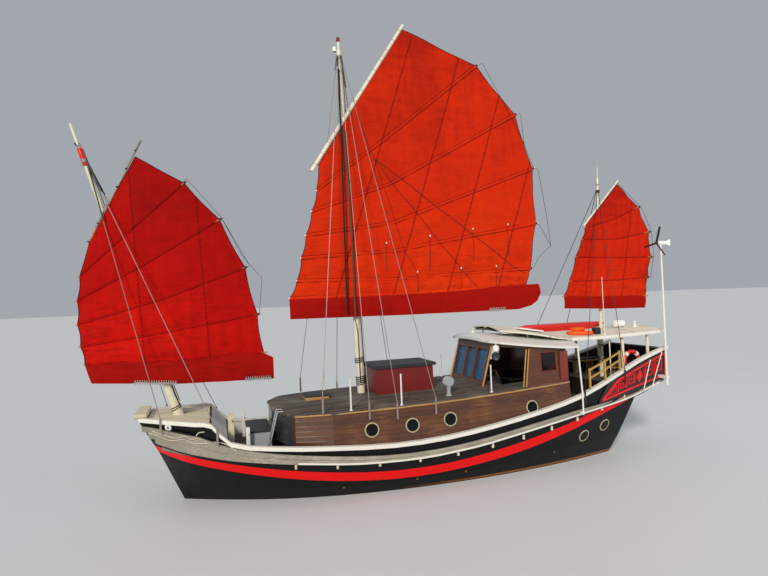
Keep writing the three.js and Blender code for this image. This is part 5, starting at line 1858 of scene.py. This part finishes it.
@dataclass
class WheelhouseGear:
    """Posts, window frames, lamp and fittings of the wheelhouse."""

    foot: float = 1.715
    aft: float = 4.04
    window: Row = ((3.215, 2.625), (3.695, 2.625), (3.695, 3.12), (3.215, 3.12))
    sill: Row = ((2.80, 2.275), (3.3, 2.29), (3.96, 2.315))
    panes: Row = ((-0.97, -0.35), (-0.29, 0.29), (0.35, 0.97))
    lamp: Row = ((0.03, 0), (0.03, 0.05), (0.085, 0.06), (0.09, 0.15), (0.075, 0.2), (0.03, 0.215))
    speaker: Row = ((0.10, 0), (0.115, 0.012), (0.115, 0.05), (0.095, 0.06), (0.04, 0.045))
    vent: Row = ((0.06, -0.01), (0.06, 0.03), (0.045, 0.05), (0.045, 0.1), (0.085, 0.115), (0.08, 0.14), (0.03, 0.155))
    vent_at: tuple[float, float] = (2.35, 0.6)

    @staticmethod
    def front_edge(z: float) -> float:
        """Gives the length of the side wall's front edge at a height."""
        return 2.70 + (z - 2.12) * 0.1517

    def wall(self, x: float, z: float) -> float:
        """Gives how far the side wall's outside stands from the middle."""
        front = self.front_edge(z)
        return self.foot - (z - 2.12) * 0.0517 - 0.085 * (x - front) / (self.aft - front)

    def run(self, side: Side, spots: Sequence[tuple[float, float]], out: float) -> list[Point]:
        """Places points (x, z) a little outside of one side wall."""
        return [(x, side.value * (self.wall(x, z) + out), z) for x, z in spots]

    def sides(self, shop: Workshop) -> None:
        """Frames the side openings with light posts, sills and a red after board.

        Args:
            shop: The workshop.
        """
        for side in Side:
            parts = []
            for shift in (0.0, -0.085):
                spots = [(self.front_edge(z) + shift, z) for z in (2.26, 3.24)]
                parts.append(shop.rod(*self.run(side, spots, 0.004), 0.019))
            parts.append(shop.rod((1.775, side.value * 1.085, 2.26), (2.115, side.value * 1.075, 3.42), 0.027))
            shop.done(parts, f"wheelhouse_posts_{side.tag}", "light timber")
            frame = [shop.line(self.run(side, self.window, 0.003), 0.017, closed=True),
                     shop.line(self.run(side, self.sill, 0.006), 0.016)]
            shop.done(frame, f"side_window_frame_{side.tag}", "red timber")
            y = side.value * (self.wall(3.9, 2.2) + 0.004)
            board = shop.block((3.79, y, 2.30), (4.035, y + side.value * 0.022, 3.12))
            shop.done(board, f"after_board_{side.tag}", "red timber")

    def front(self, shop: Workshop) -> None:
        """Frames the three front windows.

        Args:
            shop: The workshop.
        """
        parts = []
        for low, high in self.panes:
            corners = ((low, 2.40), (high, 2.40), (high, 3.23), (low, 3.23))
            parts.append(shop.line([(1.746 + (z - 2.12) * 0.2552, y, z) for y, z in corners], 0.014, closed=True))
        shop.done(parts, "front_window_frames", "wheelhouse timber")

    def fittings(self, shop: Workshop) -> None:
        """Hangs the lamp and the speaker at the corner, stands a vent on the roof and a seat inside.

        Args:
            shop: The workshop.
        """
        shop.done(shop.turned(self.lamp, (2.10, -1.30, 3.41), -UP), "corner_lamp", "white plastic")
        disc = shop.turned(self.speaker, (2.10, -1.27, 3.07), (-0.5, -1, 0), 28)
        arm = shop.rod((2.13, -1.08, 3.08), (2.105, -1.28, 3.07), 0.012)
        shop.done([disc, arm], "corner_speaker", "dark plastic")
        vent = shop.turned(self.vent, (*self.vent_at, shop.top("wheelhouse_roof", *self.vent_at)))
        shop.done(vent, "roof_vent", "white plastic")
        shop.done(shop.block((3.45, 0.55, 2.06), (3.95, 1.25, 2.14), 0.02), "pilot_seat", "black vinyl")
        shop.done(shop.block((3.6, 0.8, 1.80), (3.8, 1.0, 2.06), 0.01), "pilot_seat_leg", "wheelhouse timber")

    def build(self, shop: Workshop) -> None:
        """Builds the wheelhouse's fittings.

        Args:
            shop: The workshop.
        """
        self.sides(shop)
        self.front(shop)
        self.fittings(shop)


@dataclass
class AwningGear:
    """Panel, canister, life jackets, case and aerial on the awning, and the ring's bands."""

    edge: tuple[Point, ...] = (
        (4.46, 1.264, 3.360), (5.60, 1.264, 3.355), (6.50, 1.259, 3.380), (7.60, 1.249, 3.422),
    )
    solar: tuple[float, float, float, float] = (3.03, 3.78, -0.95, -0.55)
    raft_at: tuple[float, float] = (6.775, -0.30)
    raft: Row = ((0.07, 0), (0.105, 0.02), (0.11, 0.12), (0.112, 0.13), (0.11, 0.14), (0.112, 0.24), (0.11, 0.25),
                 (0.105, 0.33), (0.07, 0.35))
    jackets: tuple[Point, ...] = ((4.82, -0.86, 0.0), (5.14, -0.92, 0.0), (4.98, -0.80, 0.09))
    case: tuple[float, float] = (5.5, -0.9)
    aerial_at: tuple[float, float] = (7.2, -0.5)
    aerial: Row = ((0.05, -0.01), (0.055, 0.02), (0.03, 0.05), (0.03, 0.12), (0.06, 0.15), (0.02, 0.18))
    ring_at: Point = (6.600, -1.0157, 2.640)
    ring_radius: tuple[float, float] = (0.240, 0.0602)

    def band(self, shop: Workshop, a: float) -> bpy.types.Object:
        """Winds one turn of a white band round the life ring, at an angle.

        Args:
            shop: The workshop.
            a: The angle round the ring.

        Returns:
            The turn.
        """
        out = Vector((math.cos(a), 0, math.sin(a)))
        major, minor = self.ring_radius
        hub = Vector(self.ring_at) + out * major
        return shop.ring(hub, out * minor, Vector((0, minor, 0)), 16, 0.011)

    def trim(self, shop: Workshop) -> None:
        """Screws a light board over each side of the awning.

        Args:
            shop: The workshop.
        """
        for side in Side:
            low = [(x, side.value * y, z - 0.032) for x, y, z in self.edge]
            high = [(x, side.value * y, z + 0.058) for x, y, z in reversed(self.edge)]
            board = shop.panel([*low, *high], (0, side.value * 0.012, 0), 0.003)
            shop.done(board, f"awning_edge_{side.tag}", "rail white")

    def gear(self, shop: Workshop) -> None:
        """Lays the solar panel, the raft's canister, a case and an aerial on the awning.

        Args:
            shop: The workshop.
        """
        top = partial(shop.top, "awning")
        x0, x1, y0, y1 = self.solar
        z = top(3.4, -0.75)
        tilt = (top(x1, -0.75) - top(x0, -0.75)) / (x1 - x0)
        outline = [(x, y, z + 0.004 + (x - 3.4) * tilt) for x, y in ((x0, y0), (x1, y0), (x1, y1), (x0, y1))]
        shop.done(shop.panel(outline, (0, 0, 0.045), 0.008), "solar_panel_frame", "white fitting")
        x, y = self.raft_at
        z = top(x, y)
        shop.done(shop.turned(self.raft, (x - 0.175, y, z + 0.108), (1, 0, 0), 32), "raft_canister", "white plastic")
        cradle = [shop.block((x - 0.1 + k, y - 0.1, z - 0.02), (x - 0.06 + k, y + 0.1, z + 0.035)) for k in (0.0, 0.16)]
        shop.done(cradle, "raft_cradle", "galvanised")
        for k, (x, y, lift) in enumerate(self.jackets):
            z = top(x, y) + lift
            vest = shop.block((x - 0.2, y - 0.12, z - 0.012), (x + 0.2, y + 0.12, z + 0.10), 0.035, 0.3 * (k - 1))
            shop.done(vest, f"life_jacket_{k + 1}", "orange gear", angle=60)
        x, y = self.case
        z = top(x, y)
        case = shop.block((x - 0.08, y - 0.1, z - 0.02), (x + 0.12, y + 0.08, z + 0.18), 0.03)
        shop.done(case, "gear_case", "dark plastic")
        knob = shop.turned(self.aerial, (*self.aerial_at, top(*self.aerial_at)), sides=20)
        shop.done(knob, "dome_aerial", "white plastic")

    def build(self, shop: Workshop) -> None:
        """Builds the gear on the awning and the bands of the life ring, which hangs on the port side.

        Args:
            shop: The workshop.
        """
        self.trim(shop)
        self.gear(shop)
        angles = [math.tau * (k + 0.5) / 4 + (step - 2) * 0.075 for k in range(4) for step in range(5)]
        shop.done([self.band(shop, a) for a in angles], "life_ring_bands", "white fitting", angle=70)


@dataclass
class AfterDeck:
    """Benches and boarding rods aft."""

    legs: tuple[float, ...] = (6.0, 6.58, 7.15)
    rods: tuple[tuple[Point, Point], ...] = (
        ((7.38, -1.36, 2.84), (6.86, -1.50, 1.88)), ((6.87, -1.47, 2.66), (6.50, -1.585, 1.86)),
    )

    def build(self, shop: Workshop) -> None:
        """Builds the benches and rods.

        Args:
            shop: The workshop.
        """
        for side in Side:
            y = side.value
            seat = shop.block((5.9, y * 0.78, 2.44), (7.3, y * 1.12, 2.49), 0.012)
            legs = [shop.block((x, y * 0.84, 2.055), (x + 0.05, y * 1.02, 2.45)) for x in self.legs]
            shop.done([seat, *legs], f"poop_bench_{side.tag}", "light timber")
            pad = shop.block((5.92, y * 0.79, 2.488), (7.28, y * 1.11, 2.545), 0.022)
            shop.done(pad, f"bench_cushion_{side.tag}", "black vinyl", angle=60)
        shop.done([shop.line(pair, 0.013) for pair in self.rods], "boarding_rods", "white fitting")


@dataclass
class MastGear:
    """Lights, collars, caps, halyards, shroud sleeves and rope turns on the masts."""

    collars: tuple[tuple[Mast, float, float, float], ...] = (
        (FORE_MAST, 8.64, 0.058, 0.07), (MIZZEN_MAST, 7.95, 0.06, 0.08), (MAIN_MAST, 10.9, 0.095, 0.07),
    )
    lamp: Row = ((0.05, 0), (0.055, 0.02), (0.055, 0.1), (0.03, 0.13))
    red_lamp: Row = ((0.045, 0), (0.05, 0.02), (0.05, 0.1), (0.03, 0.13))
    halyards: tuple[tuple[Mast, float, float, float], ...] = (
        (MAIN_MAST, 2.2, 11.2, 0.15), (FORE_MAST, 2.4, 8.6, 0.13), (MIZZEN_MAST, 2.5, 7.9, 0.09),
    )
    hauled: tuple[Point, ...] = ((-1.46, -0.30, 4.20), (-1.37, -0.16, 3.84), (-1.34, -0.125, 2.5))
    downhaul: tuple[Point, ...] = (
        (-1.60, -0.085, 10.95), (-1.62, -0.15, 10.2), (-1.65, -0.30, 9.3), (-1.67, -0.39, 8.2), (-1.68, -0.40, 7.0),
        (-1.68, -0.36, 4.33),
    )
    strap: tuple[Point, ...] = ((-1.58, -0.30, 9.30), (-1.53, -0.38, 8.0), (-1.50, -0.40, 6.5), (-1.46, -0.36, 4.24))
    turns: tuple[tuple[Mast, float, int, float], ...] = (
        (FORE_MAST, 2.22, 2, 0.122), (MAIN_MAST, 2.45, 8, 0.122), (MIZZEN_MAST, 2.5, 5, 0.07),
    )
    stays: tuple[tuple[Mast, float, float, Point, float], ...] = (
        (FORE_MAST, 8.30, 0.070, (-6.30, 0.978, 2.172), 0.24), (FORE_MAST, 8.30, 0.070, (-5.06, 1.55, 1.89), 0.12),
        (MAIN_MAST, 11.30, 0.095, (-2.68, 1.80, 2.48), 0.035), (MAIN_MAST, 11.30, 0.095, (-0.89, 1.895, 2.20), 0.10),
    )

    @staticmethod
    def collar(shop: Workshop, mast: Mast, z: float, radius: float, high: float) -> bpy.types.Object:
        """Fits a collar round a mast."""
        profile = ((radius - 0.004, 0), (radius, 0.006), (radius, high - 0.006), (radius - 0.004, high))
        return shop.turned(profile, mast.at(z), mast.axis())

    def head(self, shop: Workshop) -> None:
        """Fits the mastheads: bands, lamps, crosspieces and aerial.

        Args:
            shop: The workshop.
        """
        shop.done(self.collar(shop, FORE_MAST, 8.18, 0.060, 0.44), "fore_mast_red_band", "red trim")
        shop.done([self.collar(shop, *collar) for collar in self.collars], "mast_collars", "galvanised")
        x = FORE_MAST.at(8.68).x - 0.04
        shop.done(shop.rod((x, -0.13, 8.68), (x, 0.13, 8.68), 0.02), "fore_mast_crosspiece", "dark plastic")
        x = MAIN_MAST.at(11.5).x
        shop.done(shop.turned(self.lamp, (x - 0.115, 0, 11.45), sides=20), "masthead_lamp", "white plastic")
        arm = shop.block((x - 0.15, -0.012, 11.43), (x + 0.02, 0.012, 11.455), 0.004)
        shop.done(arm, "masthead_bracket", "dark plastic")
        red = shop.turned(self.red_lamp, (MAIN_MAST.at(11.70).x, 0, 11.715), sides=20)
        shop.done(red, "masthead_red_lamp", "house red")
        x = MIZZEN_MAST.at(8.5).x
        bars = [shop.rod((x, 0, 8.5), (x, 0, 8.72), 0.009), shop.rod((x - 0.2, 0, 8.62), (x + 0.2, 0, 8.62), 0.008)]
        shop.done(bars, "mizzen_aerial", "galvanised")

    def lines(self, shop: Workshop) -> None:
        """Leads halyards down the masts, and the downhaul and the strap down the mainsail.

        Args:
            shop: The workshop.
        """
        lines = []
        for mast, low, high, out in self.halyards:
            for shift in (0.0, 0.045):
                start = (mast.at(low).x + out, 0.05 + shift, low)
                end = (mast.at(high).x + out * 0.55, 0.03 + shift * 0.5, high)
                lines.append(shop.line((start, end), 0.008, sides=1))
        lines.append(shop.line(self.hauled, 0.012))
        low, high = FORE_MAST.at(2.25).x, FORE_MAST.at(3.9).x
        lines.append(shop.line([(low + 0.115, -0.05, 2.25), (low - 0.02, -0.09, 2.6), (high + 0.1, -0.06, 3.9)], 0.014))
        shop.done(lines, "halyards", "dark rope")
        shop.done(shop.line(self.downhaul, 0.024), "main_sail_downhaul", "dark rope", Body.MAIN)
        shop.done(shop.line(self.strap, 0.026), "main_sail_strap", "strap webbing", Body.MAIN)

    def wound(self, shop: Workshop) -> None:
        """Winds turns of rope round the feet of the masts.

        Args:
            shop: The workshop.
        """
        turns = []
        for mast, start, count, radius in self.turns:
            turn = UP.rotation_difference(mast.axis())
            for k in range(count):
                mid = mast.at(start + 0.05 * k + (0.35 if k > count // 2 else 0))
                first, quarter = turn @ Vector((radius, 0, 0.02)), turn @ Vector((0, radius, 0))
                turns.append(shop.ring(mid, first, quarter, 24, 0.011))
        shop.done(turns, "mast_rope_turns", "dark rope")

    def sleeves(self, shop: Workshop) -> None:
        """Slips dark sleeves over the upper ends of the stays.

        Args:
            shop: The workshop.
        """
        parts = []
        for mast, z, reach, (x, y, low), share in self.stays:
            start = mast.at(z)
            for side in Side:
                foot = Vector((x, side.value * y, low))
                head = start + ((foot - start) * Vector((1, 1, 0))).normalized() * reach
                parts.append(shop.rod(head, head.lerp(foot, share), 0.018, 10))
        shop.done(parts, "stay_sleeves", "dark plastic")

    def build(self, shop: Workshop) -> None:
        """Builds all mast gear.

        Args:
            shop: The workshop.
        """
        self.head(shop)
        self.lines(shop)
        self.wound(shop)
        self.sleeves(shop)


class Junk:
    """The whole boat: dressed frame nodes and all added pieces."""

    FINISHES: dict[str, str] = {
        "hull paint and decks": "hull rudder",
        "weathered wale": "wale_port wale_starboard fore_yard",
        "rail white": "rail_cap_port rail_cap_starboard",
        "cream paint": "bow_beam foredeck_platform samson_post",
        "grey paint": "foredeck_locker",
        "dark trim": "foredeck_locker_lid companion_roof helm_console name_board_port name_board_starboard",
        "aluminium": "boarding_ladder",
        "cabin teak": "trunk_cabin",
        "roof planking": "cabin_roof",
        "house red": "companion_house",
        "wheelhouse timber": "wheelhouse",
        "blue glass": "windscreen",
        "roof paint": "wheelhouse_roof",
        "light timber": "steering_wheel",
        "awning cloth": "awning",
        "spar cream": "awning_frame_port awning_frame_starboard fore_mast main_mast mizzen_mast main_yard mizzen_yard",
        "white fitting": "side_pole_port side_pole_starboard wind_pole whip_antenna",
        "rail yellow": "after_railing_port after_railing_starboard",
        "red plastic": "life_ring tender",
        "white plastic": "wind_head",
        "dark plastic": "wind_rotor",
        "wire": "fore_stays main_stays",
        "dark wire": "mizzen_stays",
        "bronze": "propeller",
    }

    SAILS: tuple[JunkSail, ...] = (
        JunkSail(
            "fore", Body.FORE, -0.130,
            (((-6.74, 8.40), (-7.79, 6.41)), ((-5.64, 7.78), (-6.80, 6.69), (-8.04, 5.53)),
             ((-4.82, 6.87), (-6.60, 5.78), (-8.11, 4.96)), ((-4.24, 5.65), (-6.10, 4.96), (-8.12, 4.40)),
             ((-3.98, 4.45), (-6.40, 4.08), (-8.07, 3.88)), ((-3.85, 3.47), (-5.85, 3.41), (-7.99, 3.44))),
            (((-3.62, 3.33), (-3.84, 3.455), (-5.85, 3.42), (-7.99, 3.45)),
             ((-3.62, 2.79), (-5.8, 2.84), (-7.86, 3.00))),
            ((-7.83, 6.33), (-6.60, 8.81)), 0.032, FORE_MAST, belly=0.07, combs=((0.22, 0.45), (0.83, 0.985)),
            leech=(((-5.62, 7.85), (-5.57, 7.87), (-4.79, 6.94), (-4.15, 5.74), (-3.83, 5.37), (-3.93, 4.47)),
                   ((-4.79, 6.94), (-4.33, 6.0), (-4.15, 5.74))),
        ),
        JunkSail(
            "main", Body.MAIN, -0.150,
            (((0.22, 12.16), (-2.25, 8.33)), ((2.44, 11.30), (-0.38, 9.08), (-2.33, 7.64)),
             ((3.63, 9.95), (-0.34, 7.82), (-2.48, 7.09)), ((4.13, 8.37), (-0.30, 6.76), (-2.66, 6.45)),
             ((4.16, 6.75), (-0.28, 6.00), (-2.81, 5.86)), ((3.93, 5.43), (-0.20, 5.23), (-2.94, 5.27)),
             ((3.77, 4.94), (0.2, 4.83), (-3.14, 4.82))),
            (((4.16, 4.97), (0.2, 4.86), (-3.16, 4.80)),
             ((4.22, 4.70), (4.10, 4.48), (3.89, 4.34), (3.46, 4.25), (0.0, 4.25), (-3.15, 4.28))),
            ((-2.45, 8.15), (0.26, 12.28)), 0.058, MAIN_MAST, belly=0.11, pocket=0.045, tips=Tips.WHITE,
            combs=((0.745, 0.815),),
            leech=(((2.50, 11.34), (2.64, 11.38), (3.46, 9.93), (3.88, 9.10), (4.16, 8.38)),
                   ((3.70, 9.99), (3.80, 9.99), (3.88, 9.10)),
                   ((4.20, 8.38), (4.30, 8.36), (4.52, 7.0), (4.62, 6.08), (4.20, 5.75), (4.0, 5.43)),
                   ((4.22, 6.74), (4.34, 6.6), (4.62, 6.08))),
            falls=(((-1.23, 9.80), (-0.76, 8.50), (-0.06, 8.01), (0.67, 7.44), (1.80, 6.61), (2.13, 6.38), (3.32, 5.50),
                    (3.73, 5.29)),
                   ((-0.76, 8.50), (0.08, 7.38), (0.28, 7.19), (0.94, 6.33), (1.65, 5.48), (2.18, 4.88)),
                   ((-0.76, 8.50), (-0.40, 7.37), (-0.01, 6.01), (0.34, 5.41)),
                   ((-0.51, 6.21), (-0.54, 5.46)), ((0.75, 6.39), (0.72, 5.51)), ((2.07, 6.58), (2.06, 5.67)),
                   ((3.20, 6.71), (3.17, 5.82)), ((0.34, 5.41), (0.35, 4.86)), ((1.65, 5.48), (1.64, 4.90)),
                   ((2.77, 5.51), (2.75, 4.92))),
        ),
        JunkSail(
            "mizzen", Body.MIZZEN, -0.088,
            (((7.12, 7.97), (5.93, 6.70)), ((7.88, 7.26), (6.90, 6.88), (5.89, 6.61)),
             ((8.23, 6.48), (7.00, 6.27), (5.75, 6.26)), ((8.27, 5.69), (6.90, 5.69), (5.51, 5.74)),
             ((8.11, 5.05), (6.80, 5.00), (5.25, 5.01)), ((8.00, 4.47), (6.50, 4.50), (5.04, 4.56))),
            (((8.00, 4.46), (6.50, 4.49), (5.04, 4.55)), ((7.94, 4.10), (6.5, 4.13), (5.04, 4.20))),
            ((5.85, 6.68), (7.17, 8.09)), 0.030, MIZZEN_MAST, belly=0.05, pillow=0.03, pocket=0.010,
            leech=(((7.12, 8.0), (7.96, 7.27), (8.32, 6.49), (8.36, 5.70), (8.2, 5.06)),),
        ),
    )

    def __init__(self, frame: dict) -> None:
        """Keeps the frame and makes the finishes."""
        self.shop = Workshop(frame, Paints())

    def dress(self) -> None:
        """Gives every node of the frame its finish."""
        for finish, nodes in self.FINISHES.items():
            for node in nodes.split():
                self.shop.dress(self.shop.frame["nodes"][node], finish)

    def build(self) -> None:
        """Builds every sub-assembly in order."""
        self.dress()
        for sail in self.SAILS:
            sail.build(self.shop)
        for part in (Portholes(), BowGear(), CabinTrim(), QuarterBoard(), WaleGear(), WheelhouseGear(),
                     AwningGear(), AfterDeck(), MastGear()):
            part.build(self.shop)
            LOG.info("%s built", type(part).__name__)


def main() -> None:
    """Builds the studio and the boat."""
    logging.basicConfig(level=logging.INFO, format="%(message)s")
    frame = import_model()
    Studio().build()
    Junk(frame).build()


if __name__ == "__main__":
    main()
